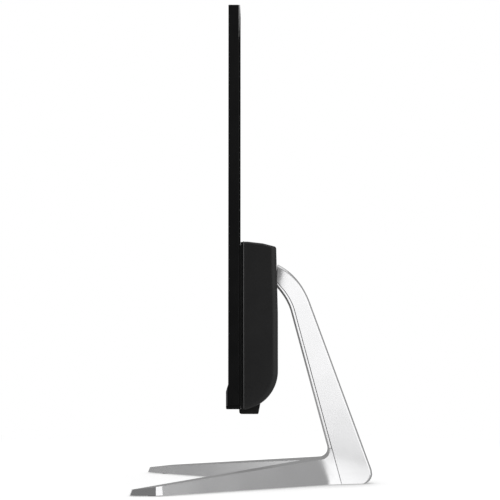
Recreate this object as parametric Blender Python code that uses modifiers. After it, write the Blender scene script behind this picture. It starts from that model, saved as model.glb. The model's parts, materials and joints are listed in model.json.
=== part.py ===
"""All-in-one desktop computer on a V-shaped metal stand, as an assembly of separate parts.

Frame: metres, +Z up, the screen faces -Y, +X is to the viewer's right. The origin is on the table,
at the centre of the bounding box. The display unit tilts about the hinge axis, which runs along X.
"""

import math

import bmesh
import bpy
from mathutils import Matrix

# ---------------------------------------------------------------- driving dimensions, in metres
GAP = 0.0003  # clearance left between parts that touch
SCREEN_WIDTH = 0.541
SCREEN_HEIGHT = 0.363
SCREEN_BOTTOM = 0.085  # height of the display's underside above the table
ACTIVE_WIDTH = 0.527
ACTIVE_HEIGHT = 0.2965
ACTIVE_BORDER_TOP = 0.0075

PANEL_FRONT = -0.0277  # front of the bezel
PANEL_DEPTH = 0.0110
BEZEL_FACE = 0.0013  # thickness of the bezel's front face
BEZEL_WALL = 0.002  # thickness of the bezel's side walls
BACK_COVER_DEPTH = 0.0011
CHIN_PROUD = 0.0019  # how far the chin stands in front of the bezel
CHIN_HEIGHT = 0.0197
TRIM_HEIGHT = 0.0028

PLINTH_DEPTH = 0.0024  # the shadow gap between the display and the housing
PLINTH_SIDE_INSET = 0.0028
PLINTH_TOP_INSET = 0.0004
RIM_DEPTH = 0.0012  # thickness of the housing's front rim, behind the shadow gap
MODULE_WIDTH = 0.430
MODULE_TOP = 0.2383
MODULE_BOTTOM = 0.0826
MODULE_REAR = 0.0181
MODULE_BELLY_RADIUS = 0.036
MODULE_WALL = 0.002
MODULE_EDGE_RADIUS = 0.003
BOSS_RADIUS = 0.0045
OPENING_HALF = 0.208  # the hole through the back cover and the plinth, for the electronics
OPENING_LOW = 0.0925
OPENING_HIGH = 0.2285
CHASSIS_MARGIN = 0.0005
SCREW_PLACES = [(x, z) for x in (-0.203, 0.203) for z in (0.130, 0.218)]
RECESS_DEPTH = 0.0035
WEBCAM_DROP = 0.0046  # depth of the camera's axis below the top edge

HINGE_Y = 0.005
HINGE_Z = 0.215
HINGE_AXIS = (HINGE_Y, HINGE_Z)
HINGE_SLOT_WIDTH = 0.044
HINGE_SLOT_LOW = 0.202
HINGE_SLOT_HIGH = 0.228
SHAFT_RADIUS = 0.004
BORE_CLEARANCE = 0.0001

BASE_LIFT = 0.0007  # height of the metal above the table, taken up by the rubber pads
TIP_X = 0.168
TIP_Y = -0.12299  # the sharp corner of each toe, before it is rounded
TIP_CORNER_RADIUS = 0.001
TIP_THICKNESS = 0.0053
TOE_LENGTH = 0.0268  # length of the flat end of each leg
TOE_CORNER_LENGTH = 0.0063  # the facet between that flat end and the leg's outer wall
TOE_CORNER_DEPTH = 0.0023
LEG_ROOT = (0.0280, 0.0740)  # a point on the leg's outer wall, beside the arm
CROTCH_Y = 0.0430
BASE_DRAFT = 0.16  # how far the legs' walls lean inwards per metre of height
BASE_SLOPE = 0.107  # rise of the base's top face per metre of depth
ARM_HALF_WIDTH = 0.021
ARM_TAPER = 0.26  # how fast the arm's sides close in towards its rear
ARM_FRONT_FOOT = 0.0861  # where the arm's front line meets the table
ARM_REAR_FOOT = 0.1261
ARM_FRONT_LEAN = 0.269  # forward lean of the front line per metre of height
ARM_REAR_LEAN = 0.368
ARM_STRAIGHT_TOP_FRONT = 0.1795
ARM_STRAIGHT_TOP_REAR = 0.1868
ARM_TOP_FRONT = (0.0218, 0.2069)  # where the arm ends, at the hinge
ARM_TOP_REAR = (0.0230, 0.2285)
ARM_BEND_FRONT = (0.0340, 0.1937)
ARM_BEND_REAR = (0.0468, 0.2168)
ARM_REAR_CORNER = 0.0050
HEEL_RADIUS = 0.011
HEEL_TOP = 0.0148
ARM_WALL = 0.0022
ARM_FLOOR = 0.020  # height of the floor of the hollow in the arm
FRONT_COVER_DEPTH = 0.0023
FRONT_COVER_BOTTOM = 0.0372

PLATE_LOW = 0.0030  # the joining plate under the arm's heel
PLATE_HIGH = 0.0048
PAD_DEPTH = 0.0008  # how far each rubber pad is let into the metal
FRONT_PAD = ((0.152, -0.104), (0.163, -0.090))
REAR_PAD = ((-0.0065, 0.1000), (0.0065, 0.1085))

BUTTON_X = 0.235
BUTTON_Y = -0.0225
FAN_X = 0.085
FAN_Y = -0.0025
FAN_Z = 0.165
FAN_RADIUS = 0.033
FAN_WALL = 0.0012
PIPE_Z = 0.2165  # height of the heat pipe's run through the fins

PORT_Z = 0.140
PORT_FRONT = 0.0012  # front of the port shells, on the riser board
PORT_REAR = 0.0135
PORT_WINDOW = (-0.190, -0.052)
PORT_WINDOW_HALF_HEIGHT = 0.009
AUDIO_X = -0.1685
DC_X = -0.1810
# name, centre x, outer half width and half height, socket half width and half height, tongue
PORTS = (
    ("usb_port_1", -0.0620, 0.0070, 0.0033, 0.0063, 0.0026, True),
    ("usb_port_2", -0.0790, 0.0070, 0.0033, 0.0063, 0.0026, True),
    ("usb_port_3", -0.0960, 0.0070, 0.0033, 0.0063, 0.0026, True),
    ("usb_port_4", -0.1130, 0.0070, 0.0033, 0.0063, 0.0026, True),
    ("hdmi_port", -0.1315, 0.0078, 0.0031, 0.0071, 0.0024, True),
    ("lan_port", -0.1515, 0.0082, 0.0068, 0.0060, 0.0042, False),
)

# ---------------------------------------------------------------- derived places
SCREEN_TOP = SCREEN_BOTTOM + SCREEN_HEIGHT
HALF_WIDTH = SCREEN_WIDTH / 2
PANEL_REAR = PANEL_FRONT + PANEL_DEPTH
COVER_SEAM = PANEL_REAR - BACK_COVER_DEPTH
CHIN_FRONT = PANEL_FRONT - CHIN_PROUD
BEZEL_BOTTOM = SCREEN_BOTTOM + TRIM_HEIGHT + GAP
ACTIVE_TOP = SCREEN_TOP - ACTIVE_BORDER_TOP
ACTIVE_BOTTOM = ACTIVE_TOP - ACTIVE_HEIGHT
PLINTH_FRONT = PANEL_REAR + GAP
HOUSING_FRONT = PLINTH_FRONT + PLINTH_DEPTH
RIM_REAR = HOUSING_FRONT + RIM_DEPTH
CAVITY_HALF = MODULE_WIDTH / 2 - MODULE_WALL
CHASSIS_FRONT = COVER_SEAM
CHASSIS_REAR = CHASSIS_FRONT + 0.0012
BOARD_FRONT = CHASSIS_REAR + 0.004
BOARD_REAR = BOARD_FRONT + 0.0016
LEFT_RIGHT = (("left", -1), ("right", 1))

PLANES = {
    "yz": Matrix(((0, 0, 1), (1, 0, 0), (0, 1, 0))),
    "xz": Matrix(((1, 0, 0), (0, 0, -1), (0, 1, 0))),
    "xy": Matrix.Identity(3),
}
NORMALS = {"yz": 0, "xz": 1, "xy": 2}
FINISHES = {
    "black_plastic": ((0.020, 0.020, 0.021), 0.55, 0.0),
    "dark_trim": ((0.06, 0.06, 0.062), 0.40, 0.0),
    "lcd": ((0.008, 0.009, 0.011), 0.25, 0.0),
    "steel": ((0.55, 0.55, 0.56), 0.35, 1.0),
    "silver": ((0.80, 0.80, 0.81), 0.30, 1.0),
    "copper": ((0.72, 0.40, 0.26), 0.30, 1.0),
    "circuit": ((0.015, 0.06, 0.035), 0.50, 0.0),
    "rubber": ((0.018, 0.018, 0.018), 0.85, 0.0),
}


# ---------------------------------------------------------------- scene and helpers
def clear_scene():
    for obj in list(bpy.data.objects):
        bpy.data.objects.remove(obj)


def collection(name):
    made = bpy.data.collections.new(name)
    bpy.context.scene.collection.children.link(made)
    return made


def material(finish):
    found = bpy.data.materials.get(finish)
    if found:
        return found
    colour, roughness, metallic = FINISHES[finish]
    made = bpy.data.materials.new(finish)
    made.use_nodes = True
    shader = made.node_tree.nodes["Principled BSDF"]
    shader.inputs["Base Color"].default_value = (*colour, 1)
    shader.inputs["Roughness"].default_value = roughness
    shader.inputs["Metallic"].default_value = metallic
    return made


def place(name, mesh, finish):
    """Links a mesh as a part. A finish of None makes it a cutter, which isn't rendered."""
    obj = bpy.data.objects.new(name, mesh)
    mesh.name = name
    if finish is None:
        CUTTERS.objects.link(obj)
        obj.hide_render = True
        obj.display_type = "WIRE"
        return obj
    PARTS.objects.link(obj)
    mesh.materials.clear()
    mesh.materials.append(material(finish))
    mesh.shade_smooth()
    mesh.set_sharp_from_angle(angle=math.radians(35))
    return obj


def mesh_from(bm, name):
    bmesh.ops.recalc_face_normals(bm, faces=bm.faces)
    mesh = bpy.data.meshes.new(name)
    bm.to_mesh(mesh)
    bm.free()
    return mesh


def box(name, low, high, finish=None, bevel=0.0):
    """A box between two corners, with its edges rounded by bevel."""
    bm = bmesh.new()
    bmesh.ops.create_cube(bm, size=1.0)
    bmesh.ops.scale(bm, vec=[high[i] - low[i] for i in range(3)], verts=bm.verts)
    obj = place(name, mesh_from(bm, name), finish)
    obj.location = [(low[i] + high[i]) / 2 for i in range(3)]
    if bevel:
        round_edges(obj, bevel)
    return obj


def round_edges(obj, width, segments=2, angle=40):
    made = obj.modifiers.new("round_edges", "BEVEL")
    made.width = width
    made.segments = segments
    made.limit_method = "ANGLE"
    made.angle_limit = math.radians(angle)


def rod(name, axis, radius, start, end, centre, finish=None, segments=32):
    """A cylinder along axis "x", "y" or "z" from start to end, with centre as the other two places."""
    bm = bmesh.new()
    bmesh.ops.create_cone(
        bm, cap_ends=True, segments=segments, radius1=radius, radius2=radius, depth=end - start
    )
    turn = {
        "x": Matrix.Rotation(math.pi / 2, 3, "Y"),
        "y": Matrix.Rotation(math.pi / 2, 3, "X"),
        "z": Matrix.Identity(3),
    }[axis]
    bmesh.ops.rotate(bm, verts=bm.verts, matrix=turn)
    middle = (start + end) / 2
    obj = place(name, mesh_from(bm, name), finish)
    obj.location = {
        "x": (middle, centre[0], centre[1]),
        "y": (centre[0], middle, centre[1]),
        "z": (centre[0], centre[1], middle),
    }[axis]
    return obj


def rounded(corners, steps=4):
    """An outline from corners (u, v) or (u, v, radius), with each radius drawn as an arc."""
    outline = []
    for i, corner in enumerate(corners):
        radius = corner[2] if len(corner) > 2 else 0
        u, v = corner[:2]
        if not radius:
            outline.append((u, v))
            continue
        before = corners[i - 1]
        after = corners[(i + 1) % len(corners)]
        in_u, in_v = unit(before[0] - u, before[1] - v)
        out_u, out_v = unit(after[0] - u, after[1] - v)
        half = math.acos(max(-1, min(1, in_u * out_u + in_v * out_v))) / 2
        mid_u, mid_v = unit(in_u + out_u, in_v + out_v)
        centre = (u + mid_u * radius / math.sin(half), v + mid_v * radius / math.sin(half))
        reach = radius / math.tan(half)
        first = math.atan2(v + in_v * reach - centre[1], u + in_u * reach - centre[0])
        last = math.atan2(v + out_v * reach - centre[1], u + out_u * reach - centre[0])
        sweep = (last - first + math.pi) % (2 * math.pi) - math.pi
        count = max(2, round(steps * abs(sweep) / (math.pi / 2)))
        for step in range(count + 1):
            angle = first + sweep * step / count
            outline.append(
                (centre[0] + radius * math.cos(angle), centre[1] + radius * math.sin(angle))
            )
    return outline


def unit(u, v):
    length = math.hypot(u, v)
    return u / length, v / length


def prism(name, outline, plane, start, end, finish=None):
    """A flat outline, extruded along the plane's normal from start to end."""
    curve = bpy.data.curves.new(name, "CURVE")
    curve.dimensions = "2D"
    curve.fill_mode = "BOTH"
    curve.extrude = (end - start) / 2
    spline = curve.splines.new("POLY")
    spline.points.add(len(outline) - 1)
    for point, (u, v) in zip(spline.points, outline):
        point.co = (u, v, 0, 1)
    spline.use_cyclic_u = True
    guide = bpy.data.objects.new(name + "_outline", curve)
    bpy.context.scene.collection.objects.link(guide)
    mesh = solid_mesh(guide)
    mesh.transform(PLANES[plane].to_4x4())
    obj = place(name, mesh, finish)
    obj.location[NORMALS[plane]] = (start + end) / 2
    return obj


def solid_mesh(curve_object):
    """The closed mesh of a curve object, with its caps welded. The curve is removed."""
    bpy.context.view_layer.update()
    graph = bpy.context.evaluated_depsgraph_get()
    raw = bpy.data.meshes.new_from_object(curve_object.evaluated_get(graph))
    bm = bmesh.new()
    bm.from_mesh(raw)
    bmesh.ops.remove_doubles(bm, verts=bm.verts, dist=1e-6)
    name = curve_object.name
    bpy.data.objects.remove(curve_object)
    return mesh_from(bm, name)


def tube(name, route, radius, finish):
    """A round bar along a list of points."""
    curve = bpy.data.curves.new(name, "CURVE")
    curve.dimensions = "3D"
    curve.bevel_depth = radius
    curve.bevel_resolution = 2
    curve.use_fill_caps = True
    spline = curve.splines.new("POLY")
    spline.points.add(len(route) - 1)
    for point, where in zip(spline.points, route):
        point.co = (*where, 1)
    guide = bpy.data.objects.new(name + "_route", curve)
    bpy.context.scene.collection.objects.link(guide)
    return place(name, solid_mesh(guide), finish)


def loft(name, rings, finish=None):
    """A solid skinned over rings of the same number of points, with flat ends."""
    bm = bmesh.new()
    rows = [[bm.verts.new(point) for point in ring] for ring in rings]
    count = len(rows[0])
    for row, following in zip(rows, rows[1:]):
        for i in range(count):
            j = (i + 1) % count
            bm.faces.new((row[i], row[j], following[j], following[i]))
    bm.faces.new(reversed(rows[0]))
    bm.faces.new(rows[-1])
    return place(name, mesh_from(bm, name), finish)


def boolean(target, tool, operation):
    made = target.modifiers.new(operation.lower() + "_" + tool.name, "BOOLEAN")
    made.operation = operation
    made.object = tool
    made.solver = "EXACT"
    return target


def cut(target, *tools):
    for tool in tools:
        boolean(target, tool, "DIFFERENCE")
    return target


def add(target, *tools):
    for tool in tools:
        boolean(target, tool, "UNION")
    return target


def marker(name, location):
    """An empty that stands on a joint's axis."""
    made = bpy.data.objects.new(name, None)
    made.empty_display_size = 0.02
    made.location = location
    PARTS.objects.link(made)
    return made


def hang(part, parent):
    """Parents a part to a marker without moving it."""
    part.parent = parent
    part.matrix_parent_inverse = Matrix.Translation(parent.location).inverted()


# ---------------------------------------------------------------- display panel
def back_cover_outline():
    """Side view of the back cover, whose rear face eases forward at the top edge."""
    return [
        (COVER_SEAM, BEZEL_BOTTOM),
        (PANEL_REAR, BEZEL_BOTTOM),
        (PANEL_REAR, SCREEN_TOP - 0.012),
        (PANEL_REAR - 0.0004, SCREEN_TOP - 0.003),
        (PANEL_REAR - 0.0007, SCREEN_TOP),
        (COVER_SEAM, SCREEN_TOP),
    ]


def build_display_panel():
    bezel = box(
        "front_bezel",
        (-HALF_WIDTH, PANEL_FRONT, BEZEL_BOTTOM),
        (HALF_WIDTH, COVER_SEAM - GAP, SCREEN_TOP),
        "black_plastic",
    )
    inner = HALF_WIDTH - BEZEL_WALL
    hollow = box(
        "bezel_hollow",
        (-inner, PANEL_FRONT + BEZEL_FACE, BEZEL_BOTTOM - 0.01),
        (inner, PANEL_REAR, SCREEN_TOP - BEZEL_WALL),
    )
    window = box(
        "bezel_window",
        (-ACTIVE_WIDTH / 2, PANEL_FRONT - 0.01, ACTIVE_BOTTOM),
        (ACTIVE_WIDTH / 2, PANEL_REAR, ACTIVE_TOP),
    )
    eye = rod("webcam_hole", "y", 0.0019, PANEL_FRONT - 0.01, PANEL_REAR,
              (0, SCREEN_TOP - WEBCAM_DROP), segments=16)
    cut(bezel, hollow, window, eye)

    border = 0.0035
    lcd_low, lcd_high = ACTIVE_BOTTOM - border, ACTIVE_TOP + 0.0009
    layers = (("lcd_cell", 0.0016, 0.0028, "lcd"), ("backlight_unit", 0.0031, 0.0081, "steel"))
    for name, front, rear, finish in layers:
        box(
            name,
            (-ACTIVE_WIDTH / 2 - border, PANEL_FRONT + front, lcd_low),
            (ACTIVE_WIDTH / 2 + border, PANEL_FRONT + rear, lcd_high),
            finish,
        )

    cover = prism("back_cover", back_cover_outline(), "yz", -HALF_WIDTH, HALF_WIDTH, "black_plastic")
    opening = box(
        "chassis_opening",
        (-OPENING_HALF, PANEL_FRONT, OPENING_LOW),
        (OPENING_HALF, MODULE_REAR, OPENING_HIGH),
    )
    cut(cover, opening)
    build_chin()
    build_webcam()


def build_chin():
    top = SCREEN_BOTTOM + CHIN_HEIGHT
    outline = rounded(
        [
            (CHIN_FRONT, BEZEL_BOTTOM),
            (PANEL_FRONT - GAP, BEZEL_BOTTOM),
            (PANEL_FRONT - GAP, top),
            (CHIN_FRONT + 0.0011, top, 0.0004),
            (CHIN_FRONT, top - 0.0040, 0.0040),
        ]
    )
    prism("chin_strip", outline, "yz", -HALF_WIDTH, HALF_WIDTH, "dark_trim")

    trim = prism(
        "bottom_trim",
        rounded(
            [
                (CHIN_FRONT, SCREEN_BOTTOM, 0.0012),
                (PANEL_REAR, SCREEN_BOTTOM, 0.0008),
                (PANEL_REAR, SCREEN_BOTTOM + TRIM_HEIGHT),
                (CHIN_FRONT, SCREEN_BOTTOM + TRIM_HEIGHT),
            ]
        ),
        "yz",
        -HALF_WIDTH,
        HALF_WIDTH,
        "black_plastic",
    )
    build_power_button(trim)


def build_power_button(trim):
    """A plunger that rises into the underside, with a collar that keeps it in."""
    half_x, half_y = 0.007, 0.0025
    clear = 0.0004
    hole = box(
        "button_hole",
        (BUTTON_X - half_x - clear, BUTTON_Y - half_y - clear, SCREEN_BOTTOM - 0.01),
        (BUTTON_X + half_x + clear, BUTTON_Y + half_y + clear, SCREEN_BOTTOM + 0.01),
    )
    cut(trim, hole)
    collar_low = SCREEN_BOTTOM + TRIM_HEIGHT + GAP
    button = box(
        "power_button",
        (BUTTON_X - half_x, BUTTON_Y - half_y, SCREEN_BOTTOM - 0.0006),
        (BUTTON_X + half_x, BUTTON_Y + half_y, collar_low + 0.0006),
        "dark_trim",
    )
    collar = box(
        "button_collar",
        (BUTTON_X - half_x - 0.0012, BUTTON_Y - half_y - 0.0009, collar_low),
        (BUTTON_X + half_x + 0.0012, BUTTON_Y + half_y + 0.0009, collar_low + 0.0009),
    )
    add(button, collar)
    box(
        "power_switch",
        (BUTTON_X - 0.006, BUTTON_Y - 0.003, collar_low + 0.0009 + 0.0011),
        (BUTTON_X + 0.006, BUTTON_Y + 0.003, collar_low + 0.0009 + 0.0045),
        "circuit",
    )


def build_webcam():
    """A small camera behind a hole in the top of the bezel."""
    height = SCREEN_TOP - WEBCAM_DROP
    rod("webcam_lens", "y", 0.0016, PANEL_FRONT + 0.0003, PANEL_FRONT + 0.0036,
        (0, height), "lcd", segments=16)
    box(
        "webcam_board",
        (-0.030, PANEL_FRONT + 0.0039, height - 0.0016),
        (0.030, PANEL_FRONT + 0.0051, height + 0.0022),
        "circuit",
    )


# ---------------------------------------------------------------- computer housing
def housing_outline(inset):
    """Side view of the thick housing, drawn a given distance inside its outer face.

    It runs on past the housing's front, where it is cut off.
    """
    front = MODULE_REAR - MODULE_BELLY_RADIUS - 0.012
    top, rear, bottom = MODULE_TOP - inset, MODULE_REAR - inset, MODULE_BOTTOM + inset
    return rounded(
        [
            (front, top),
            (-0.010, top),
            (0.004, top - 0.0016),
            (rear - 0.0015, top - 0.0048, 0.0025),
            (rear, 0.172),
            (rear, bottom, MODULE_BELLY_RADIUS - inset),
            (front, bottom),
        ],
        steps=12,
    )


def build_housing():
    half = MODULE_WIDTH / 2
    cover = prism("module_cover", housing_outline(0), "yz", -half, half, "black_plastic")
    round_edges(cover, MODULE_EDGE_RADIUS, angle=50)
    cut(cover, box("before_housing", (-1, -1, 0), (1, HOUSING_FRONT, 1)))
    plinth = box(
        "plinth",
        (-half + PLINTH_SIDE_INSET, PLINTH_FRONT, MODULE_BOTTOM + PLINTH_TOP_INSET),
        (half - PLINTH_SIDE_INSET, RIM_REAR, MODULE_TOP - PLINTH_TOP_INSET),
    )
    add(cover, plinth)
    cavity = prism("housing_cavity", housing_outline(MODULE_WALL), "yz", -CAVITY_HALF, CAVITY_HALF)
    cut(cavity, box("before_rim", (-1, -1, 0), (1, RIM_REAR, 1)))
    opening = box(
        "plinth_opening",
        (-OPENING_HALF, -1, OPENING_LOW),
        (OPENING_HALF, RIM_REAR + 0.001, OPENING_HIGH),
    )
    slot_half = HINGE_SLOT_WIDTH / 2
    slot = box("hinge_slot", (-slot_half, 0, HINGE_SLOT_LOW), (slot_half, 0.05, HINGE_SLOT_HIGH))
    cut(cover, cavity, opening, slot)
    add_bosses(cover)
    cut(cover, *vent_cutters(), *port_window_cutters())

    plate = box(
        "chassis_plate",
        (-OPENING_HALF + CHASSIS_MARGIN, CHASSIS_FRONT, OPENING_LOW + CHASSIS_MARGIN),
        (OPENING_HALF - CHASSIS_MARGIN, CHASSIS_REAR, OPENING_HIGH - CHASSIS_MARGIN),
        "steel",
    )
    build_cover_screws(cover, plate)
    build_rest_feet()


def vent_cutters():
    """Exhaust slots over the fins, intake slots behind the fan and sound slots under the speakers."""
    cutters = []
    for i in range(14):
        x = FAN_X - 0.0325 + i * 0.005
        cutters.append(box(f"exhaust_{i}", (x, -0.010, 0.225), (x + 0.0024, 0.008, 0.250)))
    for i in range(9):
        z = FAN_Z - 0.025 + i * 0.006
        half = 0.026 - 0.00045 * (i - 4) ** 2
        cutters.append(
            box(f"intake_{i}", (FAN_X - half, 0.010, z), (FAN_X + half, 0.030, z + 0.0024))
        )
    for side, sign in LEFT_RIGHT:
        for i in range(10):
            x = sign * (0.1020 + i * 0.005)
            low, high = (x - 0.001, -0.0105, 0.078), (x + 0.001, -0.0045, 0.0880)
            cutters.append(box(f"sound_slot_{side}_{i}", low, high))
    return cutters


def port_window_cutters():
    low, high = PORT_WINDOW
    half = PORT_WINDOW_HALF_HEIGHT
    window = box("port_window", (low, 0.010, PORT_Z - half), (high, 0.030, PORT_Z + half))
    lock = box("lock_slot", (0.190, 0.010, PORT_Z - 0.0035), (0.1932, 0.030, PORT_Z + 0.0035))
    return [window, lock]


def add_bosses(cover):
    """Pillars that reach the chassis plate, for the housing's four screws."""
    for i, place_at in enumerate(SCREW_PLACES):
        boss = rod(f"boss_{i}", "y", BOSS_RADIUS, CHASSIS_REAR + GAP, MODULE_REAR - 0.0016,
                   place_at, segments=20)
        add(cover, boss)


def build_cover_screws(cover, plate):
    floor = MODULE_REAR - RECESS_DEPTH
    low, high = floor + GAP, floor + GAP + 0.0016
    for i, (x, z) in enumerate(SCREW_PLACES):
        recess = rod(f"recess_{i}", "y", 0.0031, floor, 0.05, (x, z), segments=20)
        hole = rod(f"screw_hole_{i}", "y", 0.0017, -0.03, 0.05, (x, z), segments=16)
        cut(cover, recess, hole)
        cut(plate, hole)
        screw = rod(f"cover_screw_{i + 1}", "y", 0.0026, low, high, (x, z), "steel", 20)
        shank = rod(f"shank_{i}", "y", 0.0013, CHASSIS_FRONT, high - 0.0003, (x, z), segments=12)
        cross = box(f"cross_a_{i}", (x - 0.0016, high - 0.0009, z - 0.0003),
                    (x + 0.0016, high + 0.001, z + 0.0003))
        across = box(f"cross_b_{i}", (x - 0.0003, high - 0.0009, z - 0.0016),
                     (x + 0.0003, high + 0.001, z + 0.0016))
        add(screw, shank)
        cut(screw, cross, across)


def build_rest_feet():
    """Two blocks under the housing, on which the unit rests when it is off its stand."""
    outline = rounded(
        [
            (-0.0177, 0.0841),
            (-0.0177, 0.0787, 0.0022),
            (0.0000, 0.0787, 0.0010),
            (0.0018, 0.0880),
            (-0.0137, 0.0880),
            (-0.0137, 0.0841),
        ]
    )
    for side, sign in LEFT_RIGHT:
        near, far = sorted((sign * 0.165, sign * 0.205))
        foot = prism(f"rest_foot_{side}", outline, "yz", near, far, "rubber")
        around = prism(f"around_housing_{side}", housing_outline(-GAP), "yz", -0.3, 0.3)
        cut(foot, around)


# ---------------------------------------------------------------- computer inside the housing
def build_electronics():
    board = box(
        "motherboard",
        (-0.198, BOARD_FRONT, 0.104),
        (-0.046, BOARD_REAR, 0.224),
        "circuit",
    )
    for i, (x, z) in enumerate([(-0.193, 0.109), (-0.051, 0.109), (-0.193, 0.219), (-0.051, 0.219)]):
        cut(board, rod(f"board_hole_{i}", "y", 0.0017, -0.03, 0.03, (x, z), segments=12))

    for i, z in enumerate((0.168, 0.180)):
        box(
            f"ram_module_{i + 1}",
            (-0.1900, BOARD_REAR + GAP, z),
            (-0.1224, BOARD_REAR + 0.0150, z + 0.0038),
            "circuit",
        )
    box("wifi_card", (-0.080, BOARD_REAR + GAP, 0.112), (-0.058, BOARD_REAR + 0.0027, 0.127), "circuit")
    rod("coin_cell", "y", 0.010, BOARD_REAR + GAP, BOARD_REAR + 0.0035, (-0.180, 0.205), "steel", 24)
    build_cooling()
    build_drive()
    build_speakers()
    build_ports()


def build_cooling():
    """CPU plate, heat pipe, fin stack and a blower that blows up through the fins."""
    cpu_x, cpu_z = -0.095, 0.195
    plate_rear = BOARD_REAR + 0.005
    box(
        "cpu_cold_plate",
        (cpu_x - 0.021, BOARD_REAR + GAP, cpu_z - 0.021),
        (cpu_x + 0.021, plate_rear, cpu_z + 0.021),
        "copper",
        bevel=0.0008,
    )
    pipe_y = plate_rear + GAP + 0.0032
    route = [
        (cpu_x - 0.018, pipe_y, cpu_z),
        (cpu_x + 0.022, pipe_y, cpu_z),
        (cpu_x + 0.034, pipe_y, cpu_z - 0.006),
        (cpu_x + 0.042, pipe_y, cpu_z - 0.016),
        (-0.045, pipe_y, 0.172),
        (0.020, pipe_y, 0.172),
        (0.031, pipe_y, 0.178),
        (0.038, pipe_y, 0.190),
        (0.0405, pipe_y, 0.204),
        (0.0440, pipe_y, 0.213),
        (0.0500, pipe_y, PIPE_Z),
        (0.110, pipe_y, PIPE_Z),
    ]
    tube("heat_pipe", route, 0.0030, "copper")
    build_fins(pipe_y)
    build_fan()


def build_fins(pipe_y):
    """A comb of fins on a spine, with a channel for the heat pipe."""
    pitch, fin, count = 0.0044, 0.0010, 16
    low_x = FAN_X - 0.0330
    fins = box(
        "fin_stack",
        (low_x, -0.0105, 0.2085),
        (low_x + (count - 1) * pitch + fin, 0.0095, 0.2260),
        "copper",
    )
    for i in range(count - 1):
        x = low_x + i * pitch + fin
        cut(fins, box(f"fin_gap_{i}", (x, -0.1, 0.2), (x + pitch - fin, 0.0083, 0.3)))
    cut(fins, rod("pipe_channel", "x", 0.0034, 0, 0.2, (pipe_y, PIPE_Z), segments=20))


def build_fan():
    half = 0.039
    front, rear = -0.0100, 0.0050
    inner_front, inner_rear = front + FAN_WALL, rear - FAN_WALL
    housing = box(
        "fan_housing",
        (FAN_X - half, front, FAN_Z - half),
        (FAN_X + half, rear, FAN_Z + half),
        "black_plastic",
    )
    chamber = rod("fan_chamber", "y", 0.0362, inner_front, inner_rear, (FAN_X, FAN_Z), segments=40)
    inlet = rod("fan_inlet", "y", 0.0250, 0, 0.02, (FAN_X, FAN_Z), segments=32)
    outlet = box(
        "fan_outlet",
        (FAN_X - 0.0325, inner_front, FAN_Z),
        (FAN_X + 0.0362, inner_rear, FAN_Z + 0.08),
    )
    cut(housing, chamber, inlet, outlet)

    clear = 0.0008
    rotor = prism(
        "fan_rotor", rotor_outline(), "xz", inner_front + clear, inner_rear - clear, "black_plastic"
    )
    cap = rod("rotor_cap", "y", 0.0135, inner_front + clear, inner_rear - clear / 2,
              (FAN_X, FAN_Z), segments=32)
    add(rotor, cap)


def rotor_outline():
    """Rear view of the fan's swept blades, which run out from the hub."""
    blades, sweep = 19, math.radians(24)
    hub, hub_half_angle = 0.0120, math.radians(2.5)
    tip_half_angle = math.radians(0.95)
    outline = []
    for i in range(blades):
        root = 2 * math.pi * i / blades
        for radius, angle in (
            (hub, root - hub_half_angle),
            (FAN_RADIUS, root + sweep - tip_half_angle),
            (FAN_RADIUS, root + sweep + tip_half_angle),
            (hub, root + hub_half_angle),
        ):
            outline.append((FAN_X + radius * math.cos(angle), FAN_Z + radius * math.sin(angle)))
    return outline


def build_drive():
    """A 2.5 inch drive held in a folded sheet cage."""
    low_x, high_x, low_z, high_z = 0.1262, 0.1961, 0.1075, 0.2075
    front = CHASSIS_REAR + 0.003
    box(
        "hard_drive",
        (low_x, front, low_z),
        (high_x, front + 0.007, high_z),
        "steel",
        bevel=0.0006,
    )
    sheet = 0.0008
    clear = 0.0004
    outline = [
        (low_x - clear - sheet, front - 0.0020),
        (low_x - clear - sheet, front + 0.0074 + sheet),
        (high_x + clear + sheet, front + 0.0074 + sheet),
        (high_x + clear + sheet, front - 0.0020),
        (high_x + clear, front - 0.0020),
        (high_x + clear, front + 0.0074),
        (low_x - clear, front + 0.0074),
        (low_x - clear, front - 0.0020),
    ]
    prism("drive_cage", outline, "xy", low_z + 0.012, high_z - 0.012, "steel")


def build_speakers():
    for side, sign in LEFT_RIGHT:
        near, far = sorted((sign * 0.090, sign * 0.158))
        speaker = box(
            f"speaker_{side}",
            (near, RIM_REAR + GAP, 0.0885),
            (far, -0.0035, 0.1020),
            "black_plastic",
            bevel=0.0008,
        )
        driver = rod(
            f"speaker_driver_{side}", "z", 0.0042, 0.080, 0.0900, ((near + far) / 2, -0.0080),
            segments=20,
        )
        cut(speaker, driver)


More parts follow.
